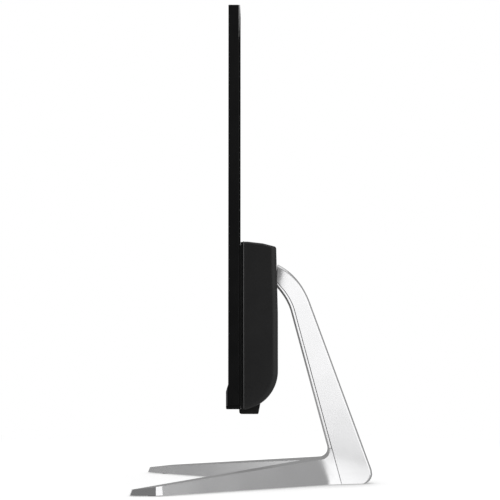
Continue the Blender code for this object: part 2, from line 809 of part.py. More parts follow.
def build_ports():
    """Sockets on a riser board, which reach the rear through a plate."""
    box("port_board", (-0.192, PORT_FRONT - 0.0019, PORT_Z - 0.0100),
        (-0.050, PORT_FRONT - GAP, PORT_Z + 0.0100), "circuit")
    plate_front = MODULE_REAR - MODULE_WALL - 0.0040
    plate = box(
        "port_plate",
        (PORT_WINDOW[0] - 0.003, plate_front, PORT_Z - 0.0115),
        (PORT_WINDOW[1] + 0.003, plate_front + 0.0008, PORT_Z + 0.0115),
        "steel",
    )
    for name, x, half_x, half_z, inner_x, inner_z, tongue in PORTS:
        shell = box(name, (x - half_x, PORT_FRONT, PORT_Z - half_z),
                    (x + half_x, PORT_REAR, PORT_Z + half_z), "steel")
        socket = box(name + "_socket", (x - inner_x, PORT_FRONT + 0.0012, PORT_Z - inner_z),
                     (x + inner_x, 0.05, PORT_Z + inner_z))
        cut(shell, socket)
        if tongue:
            blade = box(name + "_tongue", (x - inner_x + 0.0011, PORT_FRONT + 0.0004, PORT_Z - 0.0001),
                        (x + inner_x - 0.0011, PORT_REAR - 0.0010, PORT_Z + 0.0017))
            add(shell, blade)
        cut(plate, box(name + "_cutout", (x - half_x - GAP, 0, PORT_Z - half_z - GAP),
                       (x + half_x + GAP, 0.05, PORT_Z + half_z + GAP)))

    for name, x, outer, bore in (("audio_jack", AUDIO_X, 0.0036, 0.0018), ("dc_jack", DC_X, 0.0050, 0.0029)):
        shell = rod(name, "y", outer, PORT_FRONT, PORT_REAR, (x, PORT_Z), "black_plastic", 24)
        cut(shell, rod(name + "_bore", "y", bore, PORT_FRONT + 0.0012, 0.05, (x, PORT_Z), segments=20))
        cut(plate, rod(name + "_cutout", "y", outer + GAP, 0, 0.05, (x, PORT_Z), segments=24))
        if name == "dc_jack":
            add(shell, rod("dc_pin", "y", 0.0008, PORT_FRONT + 0.0004, PORT_REAR - 0.0015,
                           (x, PORT_Z), segments=12))


# ---------------------------------------------------------------- hinge
def shaft_bore(name):
    return rod(name, "x", SHAFT_RADIUS + BORE_CLEARANCE, -0.1, 0.1, HINGE_AXIS, segments=24)


def build_head_hinge():
    """The shaft and what holds it to the display unit."""
    rod("hinge_shaft", "x", SHAFT_RADIUS, -0.036, 0.036, HINGE_AXIS, "steel", 24)
    bore = shaft_bore("bracket_bore")
    for side, sign in LEFT_RIGHT:
        build_hinge_bracket(side, sign, bore)
        near, far = sorted((sign * 0.0248, sign * 0.0263))
        washer = rod(f"hinge_washer_{side}", "x", 0.0070, near, far, HINGE_AXIS, "steel", 24)
        near, far = sorted((sign * 0.0266, sign * 0.0320))
        nut = rod(f"hinge_nut_{side}", "x", 0.0070, near, far, HINGE_AXIS, "steel", 6)
        cut(washer, bore)
        cut(nut, bore)


def build_knuckle():
    """The stand's half of the hinge, a barrel on the shaft with a tongue inside the arm."""
    knuckle = rod("hinge_knuckle", "x", 0.0078, -0.018, 0.018, HINGE_AXIS, "steel", 32)
    tongue = prism("hinge_tongue", tongue_outline(0.0045, 9), "yz", -0.0095, 0.0095)
    add(knuckle, tongue)
    cut(knuckle, shaft_bore("knuckle_bore"))


def tongue_outline(half, stations):
    """Side view of the knuckle's tongue, which follows the middle of the arm."""
    upper, lower = [(HINGE_Y, HINGE_Z + half)], [(HINGE_Y, HINGE_Z - half)]
    for front, rear in arm_stations(ARM_FLOOR)[:stations]:
        across = unit(rear[0] - front[0], rear[1] - front[1])
        middle = (FRONT_COVER_DEPTH + span(front, rear) - ARM_WALL) / 2
        for line, depth in ((upper, middle + half), (lower, middle - half)):
            line.append((front[0] + across[0] * depth, front[1] + across[1] * depth))
    return upper + lower[::-1]


def build_hinge_bracket(side, sign, bore):
    """An ear on the shaft and a foot on the chassis plate."""
    ear_near, ear_far = sorted((sign * 0.0215, sign * 0.0245))
    foot_near, foot_far = sorted((sign * 0.0215, sign * 0.0440))
    foot_front = CHASSIS_REAR + GAP
    ear = prism(
        f"hinge_bracket_{side}",
        rounded(
            [
                (foot_front, 0.200),
                (HINGE_Y + 0.0085, HINGE_Z - 0.0085, 0.0080),
                (HINGE_Y + 0.0085, HINGE_Z + 0.0085, 0.0080),
                (foot_front, 0.2280),
            ]
        ),
        "yz",
        ear_near,
        ear_far,
        "steel",
    )
    foot = box(f"bracket_foot_{side}", (foot_near, foot_front, 0.200), (foot_far, foot_front + 0.003, 0.2280))
    add(ear, foot)
    cut(ear, bore)


# ---------------------------------------------------------------- stand
def bend(start, control, end, t):
    """A point on the curve from start to end that is tangent to both lines to control."""
    a, b, c = (1 - t) ** 2, 2 * t * (1 - t), t * t
    return tuple(a * start[i] + b * control[i] + c * end[i] for i in range(2))


def arm_front_y(z):
    return ARM_FRONT_FOOT - ARM_FRONT_LEAN * z


def arm_rear_y(z):
    """The rear line of the arm, with the rounded heel at the table."""
    straight = ARM_REAR_FOOT - ARM_REAR_LEAN * z
    heel_centre = ARM_REAR_FOOT - HEEL_RADIUS / math.tan(math.atan2(1, ARM_REAR_LEAN) / 2)
    if z >= HEEL_TOP:
        return straight
    return heel_centre + math.sqrt(max(0.0, HEEL_RADIUS**2 - (z - HEEL_RADIUS) ** 2))


def arm_stations(bottom, steps=12):
    """Pairs of front and rear points down the arm, from its open top end to a given height."""
    front_top = (arm_front_y(ARM_STRAIGHT_TOP_FRONT), ARM_STRAIGHT_TOP_FRONT)
    rear_top = (ARM_REAR_FOOT - ARM_REAR_LEAN * ARM_STRAIGHT_TOP_REAR, ARM_STRAIGHT_TOP_REAR)
    stations = []
    for i in range(steps + 1):
        t = i / steps
        front = bend(ARM_TOP_FRONT, ARM_BEND_FRONT, front_top, t)
        rear = bend(ARM_TOP_REAR, ARM_BEND_REAR, rear_top, t)
        stations.append((front, rear))
    heights = [0.150, 0.100, 0.050, HEEL_TOP, 0.0110, 0.0075, 0.0050, 0.0030, 0.0020, 0.0012]
    for z in [h for h in heights if h > bottom] + [bottom]:
        stations.append(((arm_front_y(z), z), (arm_rear_y(z), z)))
    return stations


def arm_ring(front, rear, start, end, half, corner):
    """A section of the arm between two depths: straight sides that close in, and round rear edges."""
    along = unit(rear[0] - front[0], rear[1] - front[1])
    length = span(front, rear) - end
    shoulder = length - corner
    start_half, shoulder_half, rear_half = (half - ARM_TAPER * d for d in (start, shoulder, length))
    side = [(start, start_half)]
    for i in range(5):
        side.append(
            bend((shoulder, shoulder_half), (length, rear_half), (length, rear_half - corner), i / 4)
        )
    ring = side + [(depth, -half) for depth, half in reversed(side)]
    return [(x, front[0] + along[0] * d, front[1] + along[1] * d) for d, x in ring]


def build_arm():
    seam = FRONT_COVER_DEPTH + GAP
    outer = [
        arm_ring(f, r, seam, 0.0, ARM_HALF_WIDTH, ARM_REAR_CORNER) for f, r in arm_stations(BASE_LIFT)
    ]
    spine = loft("stand_spine", outer, "silver")
    inner_stations = arm_stations(ARM_FLOOR)
    above_end = tuple((y - 0.006, z + 0.0045) for y, z in inner_stations[0])
    inner = [
        arm_ring(f, r, -0.004, ARM_WALL, ARM_HALF_WIDTH - ARM_WALL, ARM_REAR_CORNER - 0.0008)
        for f, r in [above_end] + inner_stations
    ]
    cut(spine, loft("arm_hollow", inner))
    strip = [cover_ring(f, r) for f, r in arm_stations(FRONT_COVER_BOTTOM)]
    loft("stand_front_cover", strip, "silver")
    return spine


def cover_ring(front, rear):
    """A section of the strip that closes the arm's open front."""
    along = unit(rear[0] - front[0], rear[1] - front[1])
    rear_half = ARM_HALF_WIDTH - ARM_TAPER * FRONT_COVER_DEPTH
    corners = (
        (-ARM_HALF_WIDTH, 0),
        (ARM_HALF_WIDTH, 0),
        (rear_half, FRONT_COVER_DEPTH),
        (-rear_half, FRONT_COVER_DEPTH),
    )
    return [(x, front[0] + along[0] * d, front[1] + along[1] * d) for x, d in corners]


def span(front, rear):
    return math.hypot(rear[0] - front[0], rear[1] - front[1])


def inset(start, end, distance):
    """A line moved to its left."""
    along_u, along_v = unit(end[0] - start[0], end[1] - start[1])
    move_u, move_v = -along_v * distance, along_u * distance
    return (start[0] + move_u, start[1] + move_v), (end[0] + move_u, end[1] + move_v)


def crossing(first, second):
    (a_u, a_v), (b_u, b_v) = first
    (c_u, c_v), (d_u, d_v) = second
    across = (b_u - a_u) * (d_v - c_v) - (b_v - a_v) * (d_u - c_u)
    t = ((c_u - a_u) * (d_v - c_v) - (c_v - a_v) * (d_u - c_u)) / across
    return a_u + (b_u - a_u) * t, a_v + (b_v - a_v) * t


def base_plan(z):
    """Plan of the V-shaped base at a height: two legs that end in flat toes parallel to the sides.

    The legs' walls lean inwards, and the corner beside the arm lies on the arm's own side.
    """
    crotch, tip, toe = (0.0, CROTCH_Y), (TIP_X, TIP_Y), (TIP_X, TIP_Y + TOE_LENGTH)
    cheek = (TIP_X - TOE_CORNER_DEPTH, TIP_Y + TOE_LENGTH + TOE_CORNER_LENGTH)
    walls = [(crotch, tip), (tip, toe), (toe, cheek), (cheek, LEG_ROOT)]
    walls = [inset(start, end, BASE_DRAFT * z) for start, end in walls]
    rear_y = 0.095
    front_y = arm_front_y(z)
    arm_rear = (ARM_HALF_WIDTH - ARM_TAPER * (rear_y - front_y), rear_y)
    walls.append(((ARM_HALF_WIDTH, front_y), arm_rear))
    radii = (TIP_CORNER_RADIUS, 0.002, 0.003, 0.020)
    outer = [(*crossing(a, b), radius) for a, b, radius in zip(walls, walls[1:], radii)]
    outer.append(arm_rear)
    mirrored = [(-x, y, *rest) for x, y, *rest in reversed(outer)]
    middle = crossing(walls[0], ((0.0, -1.0), (0.0, 1.0)))
    return rounded([(*middle, 0.0035), *outer, *mirrored], steps=8)


def base_side(bottom):
    """Side view of the base: a wedge that turns up into the arm."""
    tip_top = BASE_LIFT + TIP_THICKNESS
    seam = FRONT_COVER_DEPTH
    corner_z = (tip_top + BASE_SLOPE * (ARM_FRONT_FOOT - TIP_Y)) / (1 + BASE_SLOPE * ARM_FRONT_LEAN)
    top = FRONT_COVER_BOTTOM - GAP
    return rounded(
        [
            (TIP_Y - 0.01, bottom),
            (TIP_Y - 0.01, tip_top - 0.01 * BASE_SLOPE),
            (arm_front_y(corner_z), corner_z, 0.009),
            (arm_front_y(top), top),
            (arm_front_y(top) + seam, top),
            (arm_front_y(bottom) + seam, bottom),
        ],
        steps=8,
    )


def build_base(spine):
    rings = [[(x, y, z) for x, y in base_plan(z)] for z in (-0.020, 0.045)]
    base = loft("stand_base", rings, "silver")
    profile = prism("base_profile", base_side(BASE_LIFT), "yz", -0.2, 0.2)
    boolean(base, profile, "INTERSECT")
    build_joining_plate(base, spine)

    (pad_near, pad_front), (pad_far, pad_rear) = FRONT_PAD
    for side, sign in LEFT_RIGHT:
        near, far = sorted((sign * pad_near, sign * pad_far))
        build_foot_pad(side, (near, pad_front), (far, pad_rear), base)
    build_foot_pad("rear", *REAR_PAD, spine)


def build_foot_pad(side, low, high, metal):
    """A rubber pad in a pocket in the metal's underside."""
    top = BASE_LIFT + PAD_DEPTH
    pocket = box(
        f"pad_pocket_{side}",
        (low[0] - GAP, low[1] - GAP, -0.01),
        (high[0] + GAP, high[1] + GAP, top),
    )
    cut(metal, pocket)
    box(f"foot_pad_{side}", (*low, 0), (*high, top - GAP), "rubber")


def build_joining_plate(base, spine):
    """A steel plate under the heel, screwed to the base and to the arm."""
    half_x, low_y, high_y = 0.0105, 0.066, 0.0975
    pocket = box("plate_pocket", (-half_x - GAP, low_y - GAP, -0.01),
                 (half_x + GAP, high_y + GAP, PLATE_HIGH + GAP))
    cut(base, pocket)
    cut(spine, pocket)
    plate = box("joining_plate", (-half_x, low_y, PLATE_LOW), (half_x, high_y, PLATE_HIGH), "steel")
    for i, (y, target) in enumerate(((0.074, base), (0.0935, spine))):
        hole = rod(f"plate_hole_{i}", "z", 0.0020, 0, 0.0160, (0, y), segments=16)
        cut(plate, hole)
        cut(target, hole)
        screw = rod(f"joining_screw_{i + 1}", "z", 0.0032, 0.0011, PLATE_LOW - GAP, (0, y), "steel", 20)
        add(screw, rod(f"joining_shank_{i}", "z", 0.0015, 0.0020, 0.0150, (0, y), segments=16))


def hang_on_axes(head):
    """Parents the display unit to its tilt axis, and its fan and button to axes of their own."""
    tilt = marker("tilt_axis", (0, HINGE_Y, HINGE_Z))
    fan = marker("fan_axis", (FAN_X, FAN_Y, FAN_Z))
    press = marker("button_axis", (BUTTON_X, BUTTON_Y, SCREEN_BOTTOM))
    own_axis = {"fan_rotor": fan, "rotor_cap": fan, "power_button": press, "button_collar": press}
    for part in head:
        hang(part, own_axis.get(part.name, tilt))
    hang(fan, tilt)
    hang(press, tilt)


def main():
    build_display_panel()
    build_housing()
    build_electronics()
    build_head_hinge()
    hang_on_axes(list(PARTS.objects) + list(CUTTERS.objects))
    spine = build_arm()
    build_base(spine)
    build_knuckle()


clear_scene()
PARTS = collection("all_in_one_pc")
CUTTERS = collection("cutters")
main()
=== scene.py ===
import json
import math

import bmesh
import bpy
from mathutils import Matrix, Vector


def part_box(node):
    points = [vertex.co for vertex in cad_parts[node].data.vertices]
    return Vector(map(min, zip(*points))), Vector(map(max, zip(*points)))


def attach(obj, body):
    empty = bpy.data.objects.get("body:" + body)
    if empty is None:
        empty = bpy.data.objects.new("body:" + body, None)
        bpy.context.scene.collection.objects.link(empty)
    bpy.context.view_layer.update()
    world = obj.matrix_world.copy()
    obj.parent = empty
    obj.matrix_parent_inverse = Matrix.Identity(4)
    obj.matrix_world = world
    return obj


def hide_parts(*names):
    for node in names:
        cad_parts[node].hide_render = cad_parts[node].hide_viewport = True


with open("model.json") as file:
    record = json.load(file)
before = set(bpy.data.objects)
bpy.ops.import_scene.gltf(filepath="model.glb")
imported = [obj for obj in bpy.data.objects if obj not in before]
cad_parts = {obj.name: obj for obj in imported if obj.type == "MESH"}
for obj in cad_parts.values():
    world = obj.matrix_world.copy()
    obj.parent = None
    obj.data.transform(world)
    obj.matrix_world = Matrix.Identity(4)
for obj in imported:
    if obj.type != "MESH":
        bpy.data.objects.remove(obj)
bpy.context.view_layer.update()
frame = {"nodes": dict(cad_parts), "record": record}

# ---------------------------------------------------------------- sizes, in metres
HOUSING_LOW, HOUSING_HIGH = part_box("module_cover")
SPINE_LOW, SPINE_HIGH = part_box("stand_spine")
STRIP_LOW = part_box("stand_front_cover")[0]
BASE_LOW, BASE_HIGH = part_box("stand_base")
CHASSIS_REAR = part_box("chassis_plate")[1].y

GAP = 0.0003  # clearance between parts that touch
SEAM = 0.0006  # the visible line between the arm and the strip over its front
FAR = 1.0  # reach of a cutter that runs out past the whole object

# The housing's side view
HOUSING_HALF = HOUSING_HIGH.x
HOUSING_TOP = HOUSING_HIGH.z
HOUSING_REAR = HOUSING_HIGH.y
HOUSING_BOTTOM = 0.0826
HOUSING_WALL = 0.002
BELLY_RADIUS = 0.036
FRONT_MARGIN = 0.012  # how far the side view runs on in front of the belly's curve
TOP_FLAT_END = -0.010  # the top is flat up to here, eases down, then slopes to the rear
TOP_EASE_END = 0.004
TOP_EASE_DROP = 0.0016
TOP_SLOPE = 0.254
TOP_EDGE_RADIUS = 0.0025
TOP_EDGE_LEAN, TOP_EDGE_DROP = 0.0015, 0.0618  # the rear face leans in above this depth
SIDE_ROUND = 0.0050  # reach of the rounding along the housing's edges, across its width
REAR_ROUND = 0.0056  # its reach on the rear face, on the top and on the underside
TOP_ROUND = 0.0024
UNDER_ROUND = 0.0036

# The step where the housing meets the display, and the fine lip on it
PLINTH_FRONT = HOUSING_LOW.y
PLINTH_SIDE_INSET = 0.0028
PLINTH_TOP_INSET = 0.0004
HOUSING_FRONT = PLINTH_FRONT + 0.0024
RIM_REAR = HOUSING_FRONT + 0.0012  # the hollow starts here
RIM_EDGE = 0.0009
LIP_PROUD = 0.0003
LIP_FRONT, LIP_CREST, LIP_REAR = -0.0144, -0.0139, -0.0130
LIP_LOW = 0.0845
LIP_EDGE = 0.0002
LIP_TAIL = 0.0005  # how far the lip runs on inside the housing's wall
LIP_DEPTH = 0.0013
CORE_REACH = 0.1  # reach in Y of the block that hollows the lip

# Openings in the housing
FRONT_OPENING = (0.208, 0.0925, 0.2285)  # half its width, its low edge and its high edge
OPENING_OVERLAP = 0.001  # how far the front opening's cutter runs into the hollow
ARM_NOTCH = (0.022, 0.202, 0.228)  # the same, for the notch that the arm enters
ARM_NOTCH_REACH = 0.05
REAR_CUT = (0.010, 0.030)  # from and to in Y, for cutters through the rear face
PORT_Z = 0.140
PORT_WINDOW, PORT_WINDOW_HALF = (-0.190, -0.052), 0.009
LOCK_SLOT, LOCK_SLOT_HALF = (0.190, 0.1932), 0.0035
FAN_X, FAN_Z = 0.085, 0.165
TOP_VENTS, TOP_VENT_START, TOP_VENT_PITCH, TOP_VENT_WIDTH = 14, 0.0325, 0.005, 0.0024
TOP_VENT_Y, TOP_VENT_Z = (-0.010, 0.008), (0.225, 0.250)
REAR_VENTS, REAR_VENT_START, REAR_VENT_PITCH, REAR_VENT_HEIGHT = 9, 0.025, 0.006, 0.0024
REAR_VENT_HALF, REAR_VENT_CURVE = 0.026, 0.00045  # the slots shorten away from the middle one
UNDER_VENTS, UNDER_VENT_START, UNDER_VENT_PITCH, UNDER_VENT_HALF = 10, 0.1020, 0.005, 0.001
UNDER_VENT_Y, UNDER_VENT_Z = (-0.0105, -0.0045), (0.078, 0.0880)

# Screw bosses inside the rear face
BOSS_SIDES = (-0.203, 0.203)
BOSS_HEIGHTS = (0.130, 0.218)
BOSS_RADIUS, BOSS_SETBACK = 0.0045, 0.0016
RECESS_RADIUS, RECESS_DEPTH = 0.0031, 0.0035
HOLE_RADIUS, HOLE_SEGMENTS = 0.0017, 20
HOLE_REACH = (-0.03, 0.05)

# The arm
ARM_HALF = SPINE_HIGH.x
ARM_TAPER = 0.26  # how fast the arm's sides close in towards its rear
ARM_REAR_CORNER = 0.0035
ARM_EDGE = 0.0002
ARM_WALL = 0.0022
ARM_FLOOR = 0.020  # height of the floor of the hollow in the arm
HOLLOW_FRONT = -0.004  # the hollow's cutter starts this far in front of the arm's open front
HOLLOW_ABOVE = (-0.006, 0.0045)  # and this far in Y and Z beyond its open top end
HOLLOW_CORNER = ARM_REAR_CORNER - 0.0006
FRONT_FOOT = 0.0861  # where the arm's front line meets the table
REAR_FOOT = 0.1261
FRONT_LEAN = 0.269  # forward lean of the front line per metre of height
REAR_LEAN = 0.368
FRONT_BEND = 0.1795  # height at which each line starts to bend towards the hinge
REAR_BEND = 0.1868
FRONT_CONTROL, REAR_CONTROL = (0.0340, 0.1937), (0.0468, 0.2168)  # the bends' control points
SPINE_FRONT_Y, SPINE_FRONT_Z = 0.0218, 0.2069  # the arm's open top end
SPINE_REAR_Y = 0.0230
HEEL_RADIUS = 0.011
HEEL_TOP = 0.0148
NECK_END, NECK_LENGTH = 0.0340, 0.0120  # where the arm narrows towards the housing
NECK_NARROWING = 0.0013
FLARE_TOP, FLARE_RISE = 0.034, 0.35  # the flare at the arm's foot starts lower further back
FLARE = 0.0016
STRIP_DEPTH = 0.0023  # depth of the strip that closes the arm's front
STRIP_EDGE = 0.0003

# The base
TIP_X = BASE_HIGH.x
TIP_Y = -0.12299  # the sharp corner of each toe, before it is rounded
TIP_THICKNESS = 0.0053
TIP_MARGIN = 0.01  # how far the side view runs on past the toes
TOE_LENGTH = 0.0268  # length of the flat end of each leg
TOE_CORNER_LENGTH = 0.0063  # the facet between that flat end and the leg's outer wall
TOE_CORNER_DEPTH = 0.0023
TOE_RADII = (0.001, 0.0008, 0.0012)
LEG_ROOT = (0.0280, 0.0740)  # a point on the leg's outer wall, beside the arm
CROTCH_Y, CROTCH_RADIUS = 0.0430, 0.0035
HEEL_Y = 0.095  # where the plan ends inside the arm
# Heights of the plans that the base is skinned over
BASE_HEIGHTS = (-0.020, 0.0, 0.005, 0.010, 0.016, 0.022, 0.027, FLARE_TOP, 0.045)
BASE_DRAFT = 0.16  # how far the legs' walls lean inwards per metre of height
BASE_SLOPE = 0.107  # rise of the legs' top per metre towards the arm
BASE_REACH = 0.2  # reach in X of the base's side view
BASE_EDGE = 0.0003
INSTEP_RADIUS = 0.009  # the curve where the legs' top turns up into the arm
ROOT_REACH = (0.0030, 0.006, 0.48)  # how far from the arm the leg starts to turn, and its growth
ROOT_EASE = 0.0074  # half the length of that turn
ROOM_LOW = -0.01  # the cutters for the parts let in from below start under the table

# ---------------------------------------------------------------- studio
FLOOR_RADIUS, FLOOR_SEGMENTS = 6.0, 96
FLOOR_PAINT = (0.80, 0.80, 0.80, 1)
FLOOR_GLOW = 0.68
FLOOR_FADE = (0.35, 1.1, 0.0, 1.0)  # each range is from min, from max, to min, to max
CONTACT_REACH, CONTACT_SAMPLES = 0.07, 12
CONTACT_RANGE = (0.50, 0.96, 0.42 * FLOOR_GLOW, FLOOR_GLOW)
# Painted light on the table, seen only in reflections: a grey that is darker towards +X and changes
# slightly along Y, with a painted pool of light
BOUNCE_ALONG_Y = (0.08, 0.28, 0.32, 0.34)
BOUNCE_ALONG_X = (0.28, 0.60, 1.0, 0.25)
POOL_CENTRE, POOL_RADIUS, POOL_LEVEL = (0.55, 0.34, 0.0), 0.42, 0.40
POOL_RANGE = (POOL_RADIUS, POOL_RADIUS * 0.4, 0.0, POOL_LEVEL)
RANGE_LABELS = ("From Min", "From Max", "To Min", "To Max")
# The room's grey along X, from -X at 0 to +X at 1
WORLD_LEVELS = ((0.0, 0.30), (0.35, 0.30), (0.5, 0.34), (0.8, 0.30), (0.93, 0.23), (0.985, 0.17))
# Name, azimuth, elevation, distance, size and power
SOFTBOXES = (
    ("key", 42.3, 17.3, 2.2, (2.39, 1.5), 10.6),
    ("fill", -77, 19, 2.4, (1.2, 1.2), 3.8),
    ("top", 0, 88, 1.9, (3.0, 3.0), 13),
)
SOFTBOX_AIM = Vector((0, 0, 0.2))
CAMERA_PLACE, CAMERA_AIM = (1.750, -0.02075, 0.128), (0, -0.006, 0.2445)
CAMERA_SENSOR, CAMERA_LENS = 36, 119.7

# ---------------------------------------------------------------- shared by several functions
TOUCHING, WELD = 1e-5, 1e-6
SMOOTH_ANGLE = 32  # faces that meet at less than this many degrees are shaded as one surface
LEFT_RIGHT = (-1, 1)
# Turns a flat outline (u, v) into a side view (y, z)
TO_SIDE_VIEW = Matrix(((0, 0, 1), (1, 0, 0), (0, 1, 0)))


# ---------------------------------------------------------------- mesh helpers
def link(name, mesh):
    obj = bpy.data.objects.new(name, mesh)
    bpy.context.scene.collection.objects.link(obj)
    return obj


def mesh_from(bm, name):
    bmesh.ops.recalc_face_normals(bm, faces=bm.faces)
    mesh = bpy.data.meshes.new(name)
    bm.to_mesh(mesh)
    bm.free()
    return mesh


def block(name, low, high):
    bm = bmesh.new()
    bmesh.ops.create_cube(bm, size=1.0)
    bmesh.ops.scale(bm, vec=[high[i] - low[i] for i in range(3)], verts=bm.verts)
    bmesh.ops.translate(bm, vec=[(low[i] + high[i]) / 2 for i in range(3)], verts=bm.verts)
    return link(name, mesh_from(bm, name))


def peg(name, radius, start, end, x, z, segments=32):
    """A cylinder along Y."""
    bm = bmesh.new()
    bmesh.ops.create_cone(
        bm, cap_ends=True, segments=segments, radius1=radius, radius2=radius, depth=end - start
    )
    bmesh.ops.rotate(bm, verts=bm.verts, matrix=Matrix.Rotation(math.pi / 2, 3, "X"))
    bmesh.ops.translate(bm, vec=(x, (start + end) / 2, z), verts=bm.verts)
    return link(name, mesh_from(bm, name))


def unit(u, v):
    length = math.hypot(u, v)
    return u / length, v / length


def rounded(corners, steps):
    """An outline from corners (u, v) or (u, v, radius), with each radius drawn as an arc."""
    outline = []
    for i, corner in enumerate(corners):
        radius = corner[2] if len(corner) > 2 else 0
        u, v = corner[:2]
        if not radius:
            outline.append((u, v))
            continue
        before = corners[i - 1]
        after = corners[(i + 1) % len(corners)]
        in_u, in_v = unit(before[0] - u, before[1] - v)
        out_u, out_v = unit(after[0] - u, after[1] - v)
        half = math.acos(max(-1, min(1, in_u * out_u + in_v * out_v))) / 2
        mid_u, mid_v = unit(in_u + out_u, in_v + out_v)
        centre = (u + mid_u * radius / math.sin(half), v + mid_v * radius / math.sin(half))
        reach = radius / math.tan(half)
        first = math.atan2(v + in_v * reach - centre[1], u + in_u * reach - centre[0])
        last = math.atan2(v + out_v * reach - centre[1], u + out_u * reach - centre[0])
        sweep = (last - first + math.pi) % (2 * math.pi) - math.pi
        count = max(3, round(steps * abs(sweep) / (math.pi / 2)))
        for step in range(count + 1):
            angle = first + sweep * step / count
            outline.append(
                (centre[0] + radius * math.cos(angle), centre[1] + radius * math.sin(angle))
            )
    return outline


def prism(name, outline, start, end):
    """A side view (y, z), extruded along X from start to end."""
    bm = bmesh.new()
    face = bm.faces.new([bm.verts.new((u, v, 0)) for u, v in outline])
    made = bmesh.ops.extrude_face_region(bm, geom=[face])
    lifted = [part for part in made["geom"] if isinstance(part, bmesh.types.BMVert)]
    bmesh.ops.translate(bm, vec=(0, 0, end - start), verts=lifted)
    bmesh.ops.transform(bm, matrix=TO_SIDE_VIEW.to_4x4(), verts=bm.verts)
    bmesh.ops.translate(bm, vec=(start, 0, 0), verts=bm.verts)
    return link(name, mesh_from(bm, name))


def loft(name, rings):
    """A solid skinned over rings of the same number of points, with flat ends."""
    bm = bmesh.new()
    rows = [[bm.verts.new(point) for point in ring] for ring in rings]
    for row, following in zip(rows, rows[1:]):
        for i in range(len(row)):
            j = (i + 1) % len(row)
            bm.faces.new((row[i], row[j], following[j], following[i]))
    bm.faces.new(reversed(rows[0]))
    bm.faces.new(rows[-1])
    return link(name, mesh_from(bm, name))


def boolean(target, tool, operation):
    made = target.modifiers.new(operation.lower(), "BOOLEAN")
    made.operation = operation
    made.object = tool
    made.solver = "EXACT"


def bevel(obj, width, segments, angle):
    made = obj.modifiers.new("bevel", "BEVEL")
    made.width = width
    made.segments = segments
    made.limit_method = "ANGLE"
    made.angle_limit = math.radians(angle)
    return made


def bake(obj, *tools):
    """Applies the object's modifiers, and removes the tools that they used."""
    bpy.context.view_layer.update()
    graph = bpy.context.evaluated_depsgraph_get()
    mesh = bpy.data.meshes.new_from_object(obj.evaluated_get(graph))
    obj.modifiers.clear()
    obj.data = mesh
    for tool in tools:
        bpy.data.objects.remove(tool)
    return obj


def combine(target, operation, *tools):
    for tool in tools:
        boolean(target, tool, operation)
    return bake(target, *tools)


def smooth(obj):
    obj.data.shade_smooth()
    obj.data.set_sharp_from_angle(angle=math.radians(SMOOTH_ANGLE))
    made = obj.modifiers.new("even_normals", "WEIGHTED_NORMAL")
    made.keep_sharp = True


def finish_piece(obj, body, slot, look, *nodes):
    obj.data.materials.clear()
    obj.data.materials.append(look)
    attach(obj, body)
    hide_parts(*nodes)


# ---------------------------------------------------------------- materials
class Tree:
    """A node tree, with short calls for the nodes that several trees share."""

    def __init__(self, tree):
        self.tree = tree

    def add(self, kind, **settings):
        made = self.tree.nodes.new(kind)
        for name, value in settings.items():
            setattr(made, name, value)
        return made

    def join(self, source, target):
        self.tree.links.new(source, target)

    def mapped(self, value, values, **settings):
        """Maps one range of a value to another."""
        made = self.add("ShaderNodeMapRange", **settings)
        for label, number in zip(RANGE_LABELS, values):
            made.inputs[label].default_value = number
        self.join(value, made.inputs["Value"])
        return made.outputs["Result"]

    def measured(self, place, operation, other=(0.0, 0.0, 0.0)):
        made = self.add("ShaderNodeVectorMath", operation=operation)
        made.inputs[1].default_value = other
        self.join(place, made.inputs[0])
        return made.outputs["Value"]

    def reckoned(self, first, second, operation):
        made = self.add("ShaderNodeMath", operation=operation)
        self.join(first, made.inputs[0])
        self.join(second, made.inputs[1])
        return made.outputs["Value"]

    def glow(self, strength=None):
        made = self.add("ShaderNodeEmission")
        if strength is not None:
            self.join(strength, made.inputs["Strength"])
        return made.outputs["Emission"]

    def mixed(self, factor, first, second):
        made = self.add("ShaderNodeMixShader")
        self.join(factor, made.inputs["Fac"])
        self.join(first, made.inputs[1])
        self.join(second, made.inputs[2])
        return made.outputs["Shader"]

    def to_camera(self, others, camera):
        """One shader for what the camera sees, and another for reflections and light."""
        seen = self.add("ShaderNodeLightPath")
        return self.mixed(seen.outputs["Is Camera Ray"], others, camera)


